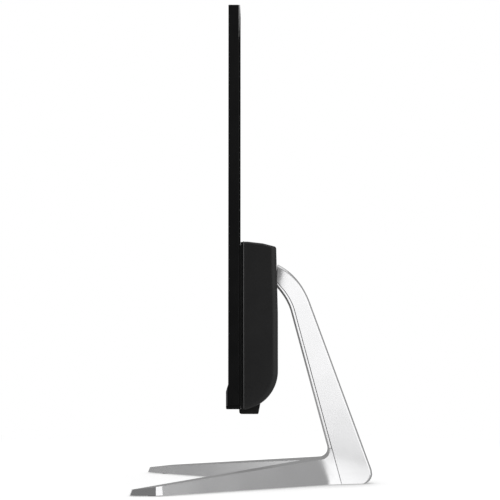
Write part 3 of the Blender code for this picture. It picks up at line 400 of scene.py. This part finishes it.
class Nodes(Tree):
    """A piece's material, with short calls for the nodes that the looks share."""

    def __init__(self, name):
        self.material = bpy.data.materials.new(name)
        self.material.use_nodes = True
        super().__init__(self.material.node_tree)
        self.shader = self.tree.nodes["Principled BSDF"]
        self.place = self.add("ShaderNodeTexCoord").outputs["Object"]

    def stretched(self, scale):
        mapping = self.add("ShaderNodeMapping")
        mapping.inputs["Scale"].default_value = scale
        self.join(self.place, mapping.inputs["Vector"])
        return mapping.outputs["Vector"]

    def noise(self, scale, detail=2.0, vector=None):
        made = self.add("ShaderNodeTexNoise")
        made.inputs["Scale"].default_value = scale
        made.inputs["Detail"].default_value = detail
        self.join(vector or self.place, made.inputs["Vector"])
        return made.outputs["Fac"]

    def cells(self, scale):
        made = self.add("ShaderNodeTexVoronoi")
        made.inputs["Scale"].default_value = scale
        self.join(self.place, made.inputs["Vector"])
        return made.outputs["Distance"]

    def ramp(self, factor, low, high, start=0.3, end=0.7):
        """Maps a factor to a colour, or to a grey where low and high are numbers."""
        made = self.add("ShaderNodeValToRGB")
        stops = made.color_ramp.elements
        for stop, place, value in ((stops[0], start, low), (stops[1], end, high)):
            stop.position = place
            stop.color = (*value, 1) if isinstance(value, tuple) else (value, value, value, 1)
        self.join(factor, made.inputs["Fac"])
        return made.outputs["Color"]

    def bump(self, height, strength, distance):
        made = self.add("ShaderNodeBump")
        made.inputs["Strength"].default_value = strength
        made.inputs["Distance"].default_value = distance
        self.join(height, made.inputs["Height"])
        self.join(made.outputs["Normal"], self.shader.inputs["Normal"])

    def colour(self, output):
        self.join(output, self.shader.inputs["Base Color"])

    def roughness(self, output):
        self.join(output, self.shader.inputs["Roughness"])


def shade(colour, factor):
    return tuple(channel * factor for channel in colour)


def plastic(name, colour, rough, grain=1500.0, depth=0.00003, specular=0.5):
    """Moulded plastic with a fine spark-eroded grain, and faint handling marks in its gloss."""
    nodes = Nodes(name)
    nodes.shader.inputs["Specular IOR Level"].default_value = specular
    nodes.colour(nodes.ramp(nodes.noise(35.0, 4.0), shade(colour, 0.86), shade(colour, 1.16)))
    nodes.roughness(nodes.ramp(nodes.noise(60.0, 5.0), rough - 0.05, rough + 0.06))
    nodes.bump(nodes.noise(grain, 3.0), 0.35, depth)
    return nodes.material


def metal(name, colour, rough, streaks=(40.0, 40.0, 40.0), depth=0.00001):
    """Metal with fine streaks that follow its finishing direction."""
    nodes = Nodes(name)
    nodes.shader.inputs["Metallic"].default_value = 1.0
    drawn = nodes.noise(30.0, 6.0, nodes.stretched(streaks))
    nodes.colour(nodes.ramp(drawn, shade(colour, 0.94), shade(colour, 1.04)))
    nodes.roughness(nodes.ramp(drawn, rough - 0.04, rough + 0.05))
    nodes.bump(nodes.noise(900.0, 3.0, nodes.stretched(streaks)), 0.2, depth)
    return nodes.material


def silver_paint(name):
    """Satin silver lacquer over cast metal: fine flake, and an even soft sheen."""
    nodes = Nodes(name)
    nodes.shader.inputs["Metallic"].default_value = 0.92
    nodes.shader.inputs["Coat Weight"].default_value = 0.15
    nodes.shader.inputs["Coat Roughness"].default_value = 0.25
    flake = nodes.cells(3200.0)
    nodes.colour(nodes.ramp(flake, (0.856, 0.856, 0.864), (0.884, 0.884, 0.89), 0.1, 0.8))
    nodes.roughness(nodes.ramp(nodes.noise(25.0, 4.0), 0.18, 0.23))
    nodes.bump(flake, 0.02, 0.00001)
    return nodes.material


def circuit_board(name):
    """Green solder mask over a pattern of tracks."""
    nodes = Nodes(name)
    tracks = nodes.add("ShaderNodeTexBrick")
    tracks.inputs["Scale"].default_value = 130.0
    tracks.inputs["Mortar Size"].default_value = 0.03
    tracks.inputs["Color1"].default_value = (0.010, 0.050, 0.028, 1)
    tracks.inputs["Color2"].default_value = (0.014, 0.066, 0.036, 1)
    tracks.inputs["Mortar"].default_value = (0.05, 0.15, 0.07, 1)
    nodes.join(nodes.stretched((1.0, 1.0, 1.6)), tracks.inputs["Vector"])
    nodes.colour(tracks.outputs["Color"])
    nodes.roughness(nodes.ramp(nodes.noise(300.0), 0.32, 0.48))
    nodes.bump(tracks.outputs["Fac"], 0.3, 0.00003)
    return nodes.material


def rubber(name):
    nodes = Nodes(name)
    nodes.colour(nodes.ramp(nodes.noise(400.0, 4.0), (0.009, 0.009, 0.009), (0.018, 0.018, 0.018)))
    nodes.roughness(nodes.ramp(nodes.noise(150.0, 4.0), 0.72, 0.9))
    nodes.bump(nodes.noise(2200.0, 2.0), 0.5, 0.00004)
    return nodes.material


def anti_glare(name):
    """The switched-off panel: a dark matt film with a faint uneven sheen."""
    nodes = Nodes(name)
    nodes.shader.inputs["Specular IOR Level"].default_value = 0.5
    nodes.colour(nodes.ramp(nodes.noise(8.0, 3.0), (0.0045, 0.005, 0.006), (0.006, 0.0065, 0.008)))
    nodes.roughness(nodes.ramp(nodes.noise(2500.0, 2.0), 0.24, 0.34))
    nodes.bump(nodes.noise(4200.0, 2.0), 0.12, 0.00001)
    return nodes.material


LOOKS = {
    "bezel_black": plastic("bezel_black", (0.0054, 0.0054, 0.0057), 0.34, 2600.0, 0.00001, 0.28),
    "housing_black": plastic("housing_black", (0.0207, 0.0207, 0.0212), 0.47),
    # Glossier plastic for the lip. Its colour, lighter than the housing's, is a painted highlight
    # along the lip
    "polished_edge_painted_highlight": plastic("polished_edge_painted_highlight", (0.0300, 0.0300, 0.0305), 0.20, 900.0, 0.000004, 0.9),
    "chin_grey": plastic("chin_grey", (0.060, 0.060, 0.063), 0.36, grain=3000.0, depth=0.00001),
    "screen": anti_glare("screen"),
    "backlight": metal("backlight", (0.55, 0.56, 0.57), 0.38),
    "steel": metal("steel", (0.55, 0.55, 0.56), 0.32, (12.0, 60.0, 60.0)),
    "drive_metal": metal("drive_metal", (0.46, 0.47, 0.48), 0.42),
    "stand_silver": silver_paint("stand_silver"),
    "copper": metal("copper", (0.72, 0.40, 0.26), 0.30, (60.0, 60.0, 12.0)),
    "circuit_green": circuit_board("circuit_green"),
    "black_part": plastic("black_part", (0.020, 0.020, 0.021), 0.5, grain=1200.0),
    "rubber": rubber("rubber"),
}


# ---------------------------------------------------------------- housing
def housing_outline(down, forward, up, steps):
    """Side view of the housing with its top, rear and bottom moved in. It runs on past the front."""
    front = HOUSING_REAR - BELLY_RADIUS - FRONT_MARGIN
    top, rear, bottom = HOUSING_TOP - down, HOUSING_REAR - forward, HOUSING_BOTTOM + up
    edge_y = rear - TOP_EDGE_LEAN
    edge_z = top - TOP_EASE_DROP - TOP_SLOPE * (edge_y - TOP_EASE_END)
    return rounded(
        [
            (front, top),
            (TOP_FLAT_END, top),
            (TOP_EASE_END, top - TOP_EASE_DROP),
            (edge_y, edge_z, TOP_EDGE_RADIUS),
            (rear, edge_z - TOP_EDGE_DROP),
            (rear, bottom, BELLY_RADIUS - (forward + up) / 2),
            (front, bottom),
        ],
        steps,
    )


def rounding(steps=8):
    """Pairs of how far the rounded edge has gone in from the side and from the faces beside it."""
    turns = [step / steps * math.pi / 2 for step in range(steps + 1)]
    return [(1 - math.cos(turn), 1 - math.sin(turn)) for turn in turns]


def housing_body():
    """The housing's outside: its side view, rounded along both side faces, and cut off in front."""
    rings = []
    for beside, across in rounding():
        inwards = [reach * across for reach in (TOP_ROUND, REAR_ROUND, UNDER_ROUND)]
        outline = housing_outline(*inwards, steps=28)
        x = HOUSING_HALF - SIDE_ROUND * beside
        rings.append([(x, y, z) for y, z in outline])
    mirrored = [[(-x, y, z) for x, y, z in ring] for ring in rings]
    shell = loft("housing_shell", mirrored + rings[::-1])
    combine(shell, "DIFFERENCE", block("cut", (-FAR, -FAR, 0), (FAR, HOUSING_FRONT, FAR)))
    bm = bmesh.new()
    bm.from_mesh(shell.data)
    weight = bm.edges.layers.float.new("bevel_weight_edge")
    for edge in bm.edges:
        edge[weight] = all(abs(vert.co.y - HOUSING_FRONT) < TOUCHING for vert in edge.verts)
    bm.to_mesh(shell.data)
    bm.free()
    made = shell.modifiers.new("bevel", "BEVEL")
    made.width = RIM_EDGE
    made.segments = 3
    made.limit_method = "WEIGHT"
    return bake(shell)


def slot_cutter(x, y, z):
    """A block between two values along each axis."""
    return block("cut", (x[0], y[0], z[0]), (x[1], y[1], z[1]))


def vent_cutters():
    cutters = []
    for i in range(TOP_VENTS):
        x = FAN_X - TOP_VENT_START + i * TOP_VENT_PITCH
        cutters.append(slot_cutter((x, x + TOP_VENT_WIDTH), TOP_VENT_Y, TOP_VENT_Z))
    for i in range(REAR_VENTS):
        z = FAN_Z - REAR_VENT_START + i * REAR_VENT_PITCH
        half = REAR_VENT_HALF - REAR_VENT_CURVE * (i - REAR_VENTS // 2) ** 2
        across = (FAN_X - half, FAN_X + half)
        cutters.append(slot_cutter(across, REAR_CUT, (z, z + REAR_VENT_HEIGHT)))
    for sign in LEFT_RIGHT:
        for i in range(UNDER_VENTS):
            x = sign * (UNDER_VENT_START + i * UNDER_VENT_PITCH)
            across = (x - UNDER_VENT_HALF, x + UNDER_VENT_HALF)
            cutters.append(slot_cutter(across, UNDER_VENT_Y, UNDER_VENT_Z))
    return cutters


def lip_ring(y, proud):
    """A section of the lip: up one side of the housing, over its top and down the other."""
    side = [(HOUSING_HALF + proud, LIP_LOW)]
    for beside, across in rounding():
        x = HOUSING_HALF + proud - (SIDE_ROUND + proud) * beside
        side.append((x, HOUSING_TOP + proud - (TOP_ROUND + proud) * across))
    outline = side + [(-x, z) for x, z in reversed(side)]
    return [(x, y, z) for x, z in outline]


def front_lip():
    """A fine raised lip along the sides and the top of the housing's front edge."""
    lip = loft(
        "front_lip",
        [
            lip_ring(LIP_FRONT, LIP_PROUD - LIP_EDGE),
            lip_ring(LIP_FRONT + LIP_EDGE, LIP_PROUD),
            lip_ring(LIP_CREST, LIP_PROUD),
            lip_ring(LIP_REAR, 0.0),
            lip_ring(LIP_REAR + LIP_TAIL, -LIP_EDGE),
        ],
    )
    core = block(
        "core",
        (-HOUSING_HALF + LIP_DEPTH, -CORE_REACH, 0),
        (HOUSING_HALF - LIP_DEPTH, CORE_REACH, HOUSING_TOP - LIP_DEPTH),
    )
    return combine(lip, "DIFFERENCE", core)


def gloss_lip(shell):
    """Gives the lip's faces the polished finish: glossier than the housing's, and lighter in colour,
    which is a painted highlight along the lip.
    """
    shell.data.materials.append(LOOKS["polished_edge_painted_highlight"])
    for face in shell.data.polygons:
        x, y, z = face.center
        outside = abs(x) > HOUSING_HALF - LIP_EDGE or z > HOUSING_TOP - LIP_EDGE
        if outside and y < LIP_REAR and z > LIP_LOW:
            face.material_index = 1


def housing_openings():
    """Cutters for the housing's hollow and for everything that opens through its walls."""
    inner_half = HOUSING_HALF - HOUSING_WALL
    inside = housing_outline(HOUSING_WALL, HOUSING_WALL, HOUSING_WALL, steps=24)
    cavity = prism("cavity", inside, -inner_half, inner_half)
    combine(cavity, "DIFFERENCE", block("cut", (-FAR, -FAR, 0), (FAR, RIM_REAR, FAR)))
    front_half, *front_heights = FRONT_OPENING
    notch_half, *notch_heights = ARM_NOTCH
    port_heights = (PORT_Z - PORT_WINDOW_HALF, PORT_Z + PORT_WINDOW_HALF)
    lock_heights = (PORT_Z - LOCK_SLOT_HALF, PORT_Z + LOCK_SLOT_HALF)
    return [
        cavity,
        slot_cutter((-front_half, front_half), (-FAR, RIM_REAR + OPENING_OVERLAP), front_heights),
        slot_cutter((-notch_half, notch_half), (0, ARM_NOTCH_REACH), notch_heights),
        slot_cutter(PORT_WINDOW, REAR_CUT, port_heights),
        slot_cutter(LOCK_SLOT, REAR_CUT, lock_heights),
        *vent_cutters(),
    ]


def add_boss(shell, x, z):
    """A screw boss inside the rear face, with a recess and a hole."""
    boss_ends = (CHASSIS_REAR + GAP, HOUSING_REAR - BOSS_SETBACK)
    combine(shell, "UNION", peg("boss", BOSS_RADIUS, *boss_ends, x, z))
    recess = peg("recess", RECESS_RADIUS, HOUSING_REAR - RECESS_DEPTH, HOLE_REACH[1], x, z)
    hole = peg("hole", HOLE_RADIUS, *HOLE_REACH, x, z, HOLE_SEGMENTS)
    combine(shell, "DIFFERENCE", recess, hole)


def make_housing():
    shell = housing_body()
    plinth = block(
        "plinth",
        (-HOUSING_HALF + PLINTH_SIDE_INSET, PLINTH_FRONT, HOUSING_BOTTOM + PLINTH_TOP_INSET),
        (HOUSING_HALF - PLINTH_SIDE_INSET, RIM_REAR, HOUSING_TOP - PLINTH_TOP_INSET),
    )
    combine(shell, "UNION", plinth, front_lip())
    combine(shell, "DIFFERENCE", *housing_openings())
    for x in BOSS_SIDES:
        for z in BOSS_HEIGHTS:
            add_boss(shell, x, z)
    smooth(shell)
    finish_piece(shell, "head", "housing_black", LOOKS["housing_black"], "module_cover")
    gloss_lip(shell)


# ---------------------------------------------------------------- arm
def bend(start, control, end, t):
    a, b, c = (1 - t) ** 2, 2 * t * (1 - t), t * t
    return tuple(a * start[i] + b * control[i] + c * end[i] for i in range(2))


def front_y(z):
    return FRONT_FOOT - FRONT_LEAN * z


def rear_y(z):
    """The rear line of the arm, with the rounded heel at the table."""
    if z >= HEEL_TOP:
        return REAR_FOOT - REAR_LEAN * z
    centre = REAR_FOOT - HEEL_RADIUS / math.tan(math.atan2(1, REAR_LEAN) / 2)
    return centre + math.sqrt(max(0.0, HEEL_RADIUS**2 - (z - HEEL_RADIUS) ** 2))


def arm_stations(bottom, steps=30):
    """Pairs of front and rear points down the arm, from its open top end to a given height."""
    front_top = (front_y(FRONT_BEND), FRONT_BEND)
    rear_top = (REAR_FOOT - REAR_LEAN * REAR_BEND, REAR_BEND)
    stations = []
    for i in range(steps + 1):
        t = i / steps
        front = bend((SPINE_FRONT_Y, SPINE_FRONT_Z), FRONT_CONTROL, front_top, t)
        rear = bend((SPINE_REAR_Y, SPINE_HIGH.z), REAR_CONTROL, rear_top, t)
        stations.append((front, rear))
    straight, flared = 6, 6
    drop = (FRONT_BEND - FLARE_TOP) / straight
    heights = [FRONT_BEND - drop * i for i in range(1, straight + 1)]
    heights += [FLARE_TOP - (FLARE_TOP - HEEL_TOP) * i / flared for i in range(1, flared + 1)]
    turns = 16
    for i in range(1, turns):
        turn = math.sin(i / turns * math.pi / 2)
        heights.append(HEEL_RADIUS - (HEEL_RADIUS - SPINE_LOW.z) * turn)
    for z in [height for height in heights if height > bottom] + [bottom]:
        stations.append(((front_y(z), z), (rear_y(z), z)))
    return stations


def span(front, rear):
    return math.hypot(rear[0] - front[0], rear[1] - front[1])


def swell(y, z, depth):
    """How much wider or narrower the arm is at a point than its plain taper."""
    neck = max(0.0, NECK_END - y) / NECK_LENGTH
    foot = max(0.0, FLARE_TOP - FLARE_RISE * depth - z) / FLARE_TOP
    return FLARE * foot**2 - NECK_NARROWING * neck**2


def arm_ring(front, rear, start, end, half, corner, count=10):
    """A section of the arm between two depths: straight sides that close in, and round rear edges."""
    along = unit(rear[0] - front[0], rear[1] - front[1])
    length = span(front, rear) - end
    shoulder = length - corner
    parts = 6
    side = []
    for i in range(parts + 1):
        depth = start + (shoulder - start) * i / parts
        side.append((depth, half - ARM_TAPER * depth))
    rear_half = half - ARM_TAPER * length
    corner_ends = (length, rear_half), (length, rear_half - corner)
    for i in range(1, count + 1):
        side.append(bend(side[parts], *corner_ends, i / count))
    placed = []
    for depth, x in side:
        y, z = front[0] + along[0] * depth, front[1] + along[1] * depth
        placed.append((x + swell(y, z, depth), y, z))
    return placed + [(-x, y, z) for x, y, z in reversed(placed)]


def strip_ring(front, rear):
    """A section of the strip that closes the arm's open front."""
    along = unit(rear[0] - front[0], rear[1] - front[1])
    half = ARM_HALF + swell(*front, 0.0)
    rear_half = half - ARM_TAPER * STRIP_DEPTH
    corners = ((-half, 0), (half, 0), (rear_half, STRIP_DEPTH), (-rear_half, STRIP_DEPTH))
    return [(x, front[0] + along[0] * d, front[1] + along[1] * d) for x, d in corners]


def room_for(node):
    """A cutter that leaves room for a part let into the metal from below."""
    low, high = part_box(node)
    return block(
        "cut", (low.x - GAP, low.y - GAP, ROOM_LOW), (high.x + GAP, high.y + GAP, high.z + GAP)
    )


def arm_hollow():
    """A cutter for the arm's inside, open to the front and at the top end."""
    stations = arm_stations(ARM_FLOOR)
    above_end = tuple((y + HOLLOW_ABOVE[0], z + HOLLOW_ABOVE[1]) for y, z in stations[0])
    half = ARM_HALF - ARM_WALL
    rings = [
        arm_ring(front, rear, HOLLOW_FRONT, ARM_WALL, half, HOLLOW_CORNER)
        for front, rear in [above_end] + stations
    ]
    return loft("hollow", rings)


def make_arm():
    rings = [
        arm_ring(front, rear, STRIP_DEPTH + SEAM, 0.0, ARM_HALF, ARM_REAR_CORNER)
        for front, rear in arm_stations(SPINE_LOW.z)
    ]
    spine = loft("arm_spine", rings)
    bevel(spine, ARM_EDGE, segments=2, angle=55)
    bake(spine)
    rooms = [room_for(node) for node in ("foot_pad_rear", "joining_plate")]
    combine(spine, "DIFFERENCE", arm_hollow(), *rooms)
    smooth(spine)
    finish_piece(spine, "stand", "stand_silver", LOOKS["stand_silver"], "stand_spine")

    strip = loft("arm_front_strip", [strip_ring(f, r) for f, r in arm_stations(STRIP_LOW.z)])
    bevel(strip, STRIP_EDGE, segments=3, angle=50)
    bake(strip)
    smooth(strip)
    finish_piece(strip, "stand", "stand_silver", LOOKS["stand_silver"], "stand_front_cover")


# ---------------------------------------------------------------- base
def inset(start, end, distance):
    """A line moved to its left."""
    along_u, along_v = unit(end[0] - start[0], end[1] - start[1])
    move_u, move_v = -along_v * distance, along_u * distance
    return (start[0] + move_u, start[1] + move_v), (end[0] + move_u, end[1] + move_v)


def crossing(first, second):
    (a_u, a_v), (b_u, b_v) = first
    (c_u, c_v), (d_u, d_v) = second
    across = (b_u - a_u) * (d_v - c_v) - (b_v - a_v) * (d_u - c_u)
    t = ((c_u - a_u) * (d_v - c_v) - (c_v - a_v) * (d_u - c_u)) / across
    return a_u + (b_u - a_u) * t, a_v + (b_v - a_v) * t


def root_curve(wall, side, z, steps=10):
    """The soft turn from a leg's outer wall towards the seam on the arm's side."""
    corner = crossing(wall, side)
    least, low, growth = ROOT_REACH
    reach = least + growth * max(0.0, z - low)
    back = unit(wall[0][0] - corner[0], wall[0][1] - corner[1])
    turn = (corner[0] + back[0] * reach, corner[1] + back[1] * reach)
    seam_y = front_y(z) + STRIP_DEPTH
    seam = (side[0][0] - ARM_TAPER * STRIP_DEPTH, seam_y)
    onward = unit(seam[0] - turn[0], seam[1] - turn[1])
    first = (turn[0] + back[0] * ROOT_EASE, turn[1] + back[1] * ROOT_EASE)
    last = (turn[0] + onward[0] * ROOT_EASE, turn[1] + onward[1] * ROOT_EASE)
    return [bend(first, turn, last, i / steps) for i in range(steps + 1)] + [seam]


def base_plan(z):
    """Plan of the V-shaped base at a height: two legs that end in flat toes parallel to the sides.

    The legs' walls lean inwards. Beside the arm they turn towards the seam, and follow its side.
    """
    crotch, tip, toe = (0.0, CROTCH_Y), (TIP_X, TIP_Y), (TIP_X, TIP_Y + TOE_LENGTH)
    cheek = (TIP_X - TOE_CORNER_DEPTH, TIP_Y + TOE_LENGTH + TOE_CORNER_LENGTH)
    walls = [(crotch, tip), (tip, toe), (toe, cheek), (cheek, LEG_ROOT)]
    walls = [inset(start, end, BASE_DRAFT * z) for start, end in walls]
    half = ARM_HALF + swell(FRONT_FOOT, z, STRIP_DEPTH)
    side = ((half, front_y(z)), (half - ARM_TAPER * (HEEL_Y - front_y(z)), HEEL_Y))
    outer = [(*crossing(a, b), radius) for a, b, radius in zip(walls, walls[1:], TOE_RADII)]
    outer += root_curve(walls[-1], side, z)
    outer.append(side[1])
    mirrored = [(-x, y, *rest) for x, y, *rest in reversed(outer)]
    middle = crossing(walls[0], ((0.0, -1.0), (0.0, 1.0)))
    return rounded([(*middle, CROTCH_RADIUS), *outer, *mirrored], steps=16)


def base_side():
    """Side view of the base: a wedge that turns up into the arm."""
    bottom = BASE_LOW.z
    tip_top = bottom + TIP_THICKNESS
    corner_z = (tip_top + BASE_SLOPE * (FRONT_FOOT - TIP_Y)) / (1 + BASE_SLOPE * FRONT_LEAN)
    top = STRIP_LOW.z - GAP
    return rounded(
        [
            (TIP_Y - TIP_MARGIN, bottom),
            (TIP_Y - TIP_MARGIN, tip_top - TIP_MARGIN * BASE_SLOPE),
            (front_y(corner_z), corner_z, INSTEP_RADIUS),
            (front_y(top), top),
            (front_y(top) + STRIP_DEPTH, top),
            (front_y(bottom) + STRIP_DEPTH, bottom),
        ],
        steps=20,
    )


def make_base():
    rings = [[(x, y, z) for x, y in base_plan(z)] for z in BASE_HEIGHTS]
    base = loft("v_base", rings)
    combine(base, "INTERSECT", prism("side", base_side(), -BASE_REACH, BASE_REACH))
    bevel(base, BASE_EDGE, segments=3, angle=40)
    bake(base)
    rooms = [room_for(node) for node in ("foot_pad_left", "foot_pad_right", "joining_plate")]
    combine(base, "DIFFERENCE", *rooms)
    smooth(base)
    finish_piece(base, "stand", "stand_silver", LOOKS["stand_silver"], "stand_base")


# ---------------------------------------------------------------- carried-over parts
def soften_group():
    """A modifier that welds a part's faces and shades them smooth, except over sharp edges."""
    group = bpy.data.node_groups.new("soften", "GeometryNodeTree")
    group.interface.new_socket("Geometry", in_out="INPUT", socket_type="NodeSocketGeometry")
    group.interface.new_socket("Geometry", in_out="OUTPUT", socket_type="NodeSocketGeometry")
    start = group.nodes.new("NodeGroupInput")
    weld = group.nodes.new("GeometryNodeMergeByDistance")
    weld.inputs["Distance"].default_value = WELD
    faces = group.nodes.new("GeometryNodeSetShadeSmooth")
    angle = group.nodes.new("GeometryNodeInputMeshEdgeAngle")
    sharp = group.nodes.new("FunctionNodeCompare")
    sharp.operation = "GREATER_THAN"
    sharp.inputs["B"].default_value = math.radians(SMOOTH_ANGLE)
    edges = group.nodes.new("GeometryNodeSetShadeSmooth")
    edges.domain = "EDGE"
    edges.inputs["Shade Smooth"].default_value = False
    end = group.nodes.new("NodeGroupOutput")
    links = group.links
    links.new(start.outputs["Geometry"], weld.inputs["Geometry"])
    links.new(weld.outputs["Geometry"], faces.inputs["Geometry"])
    links.new(faces.outputs["Geometry"], edges.inputs["Geometry"])
    links.new(angle.outputs["Unsigned Angle"], sharp.inputs["A"])
    links.new(sharp.outputs["Result"], edges.inputs["Selection"])
    links.new(edges.outputs["Geometry"], end.inputs["Geometry"])
    return group


EDGE_WIDTHS = {
    "front_bezel": 0.0005,
    "chin_strip": 0.0003,
    "bottom_trim": 0.0003,
    "power_button": 0.0003,
    "rest_foot_left": 0.0005,
    "rest_foot_right": 0.0005,
    "foot_pad_left": 0.0003,
    "foot_pad_right": 0.0003,
    "foot_pad_rear": 0.0003,
    "hinge_nut_left": 0.0003,
    "hinge_nut_right": 0.0003,
}


def dress_cad_nodes():
    slots = {part["node"]: part["material_slot"] for part in frame["record"]["subparts"]}
    soften = soften_group()
    for name, obj in frame["nodes"].items():
        obj.data.materials.clear()
        obj.data.materials.append(LOOKS[slots[name]])
        made = obj.modifiers.new("soften", "NODES")
        made.node_group = soften
        if name in EDGE_WIDTHS:
            bevel(obj, EDGE_WIDTHS[name], segments=2, angle=35).harden_normals = True


# ---------------------------------------------------------------- studio set
def seen_floor(tree, place):
    """A white table with a soft contact shadow, which fades into the backdrop."""
    paint = tree.add("ShaderNodeBsdfDiffuse")
    paint.inputs["Color"].default_value = FLOOR_PAINT
    nearby = tree.add("ShaderNodeAmbientOcclusion", samples=CONTACT_SAMPLES)
    nearby.inputs["Distance"].default_value = CONTACT_REACH
    lit = tree.add("ShaderNodeAddShader")
    tree.join(paint.outputs["BSDF"], lit.inputs[0])
    tree.join(tree.glow(tree.mapped(nearby.outputs["AO"], CONTACT_RANGE)), lit.inputs[1])
    away = tree.measured(place, "LENGTH")
    fade = tree.mapped(away, FLOOR_FADE, interpolation_type="SMOOTHSTEP")
    return tree.mixed(fade, lit.outputs["Shader"], tree.glow())


def bounced_floor(tree, place):
    """What reflections see of the table: grey, darker towards +X, with a brighter pool. All of it is
    painted light: painted shade towards +X and a painted pool of light.
    """
    sides = tree.add("ShaderNodeSeparateXYZ")
    tree.join(place, sides.inputs["Vector"])
    along_y = tree.mapped(sides.outputs["Y"], BOUNCE_ALONG_Y)
    along_x = tree.mapped(sides.outputs["X"], BOUNCE_ALONG_X)
    from_pool = tree.measured(place, "DISTANCE", POOL_CENTRE)
    pool = tree.mapped(from_pool, POOL_RANGE, interpolation_type="SMOOTHSTEP")
    return tree.glow(tree.reckoned(tree.reckoned(along_y, along_x, "MULTIPLY"), pool, "ADD"))


def studio_floor():
    bm = bmesh.new()
    bmesh.ops.create_circle(bm, cap_ends=True, segments=FLOOR_SEGMENTS, radius=FLOOR_RADIUS)
    floor = link("studio_floor", mesh_from(bm, "studio_floor"))
    material = bpy.data.materials.new("studio_floor")
    material.use_nodes = True
    material.node_tree.nodes.clear()
    tree = Tree(material.node_tree)
    place = tree.add("ShaderNodeTexCoord").outputs["Object"]
    shader = tree.to_camera(bounced_floor(tree, place), seen_floor(tree, place))
    tree.join(shader, tree.add("ShaderNodeOutputMaterial").inputs["Surface"])
    floor.data.materials.append(material)


def studio_world():
    """White to the camera, and to everything else a soft grey room that is darkest at +X."""
    world = bpy.data.worlds.new("studio")
    bpy.context.scene.world = world
    world.use_nodes = True
    tree = Tree(world.node_tree)
    room, end = (world.node_tree.nodes[name] for name in ("Background", "World Output"))
    parts = tree.add("ShaderNodeSeparateXYZ")
    tree.join(tree.add("ShaderNodeTexCoord").outputs["Generated"], parts.inputs["Vector"])
    ramp = tree.add("ShaderNodeValToRGB")
    stops = ramp.color_ramp.elements
    stops[0].position, stops[1].position = WORLD_LEVELS[0][0], WORLD_LEVELS[-1][0]
    for position, _ in WORLD_LEVELS[1:-1]:
        stops.new(position)
    for stop, (_, level) in zip(stops, WORLD_LEVELS):
        stop.color = (level, level, level, 1)
    tree.join(tree.mapped(parts.outputs["X"], (-1.0, 1.0, 0.0, 1.0)), ramp.inputs["Fac"])
    tree.join(ramp.outputs["Color"], room.inputs["Color"])
    white = tree.add("ShaderNodeBackground")
    white.inputs["Color"].default_value = (1, 1, 1, 1)
    shader = tree.to_camera(room.outputs["Background"], white.outputs["Background"])
    tree.join(shader, end.inputs["Surface"])


def softbox(name, azimuth, elevation, distance, size, power):
    """An area light that faces the object. Azimuth is measured from +X towards +Y."""
    light = bpy.data.lights.new(name, "AREA")
    light.shape = "RECTANGLE"
    light.size, light.size_y = size
    light.energy = power
    obj = bpy.data.objects.new(name, light)
    bpy.context.scene.collection.objects.link(obj)
    a, e = math.radians(azimuth), math.radians(elevation)
    away = Vector((math.cos(a) * math.cos(e), math.sin(a) * math.cos(e), math.sin(e)))
    obj.location = SOFTBOX_AIM + away * distance
    obj.rotation_euler = away.to_track_quat("Z", "Y").to_euler()


def photo_camera():
    camera = bpy.data.cameras.new("camera")
    camera.sensor_width = CAMERA_SENSOR
    camera.lens = CAMERA_LENS
    obj = bpy.data.objects.new("camera", camera)
    bpy.context.scene.collection.objects.link(obj)
    obj.location = CAMERA_PLACE
    aim = Vector(CAMERA_AIM) - obj.location
    obj.rotation_euler = aim.to_track_quat("-Z", "Y").to_euler()
    bpy.context.scene.camera = obj


dress_cad_nodes()
make_housing()
make_arm()
make_base()
studio_floor()
studio_world()
for settings in SOFTBOXES:
    softbox(*settings)
photo_camera()
bpy.context.scene.view_settings.view_transform = "Standard"
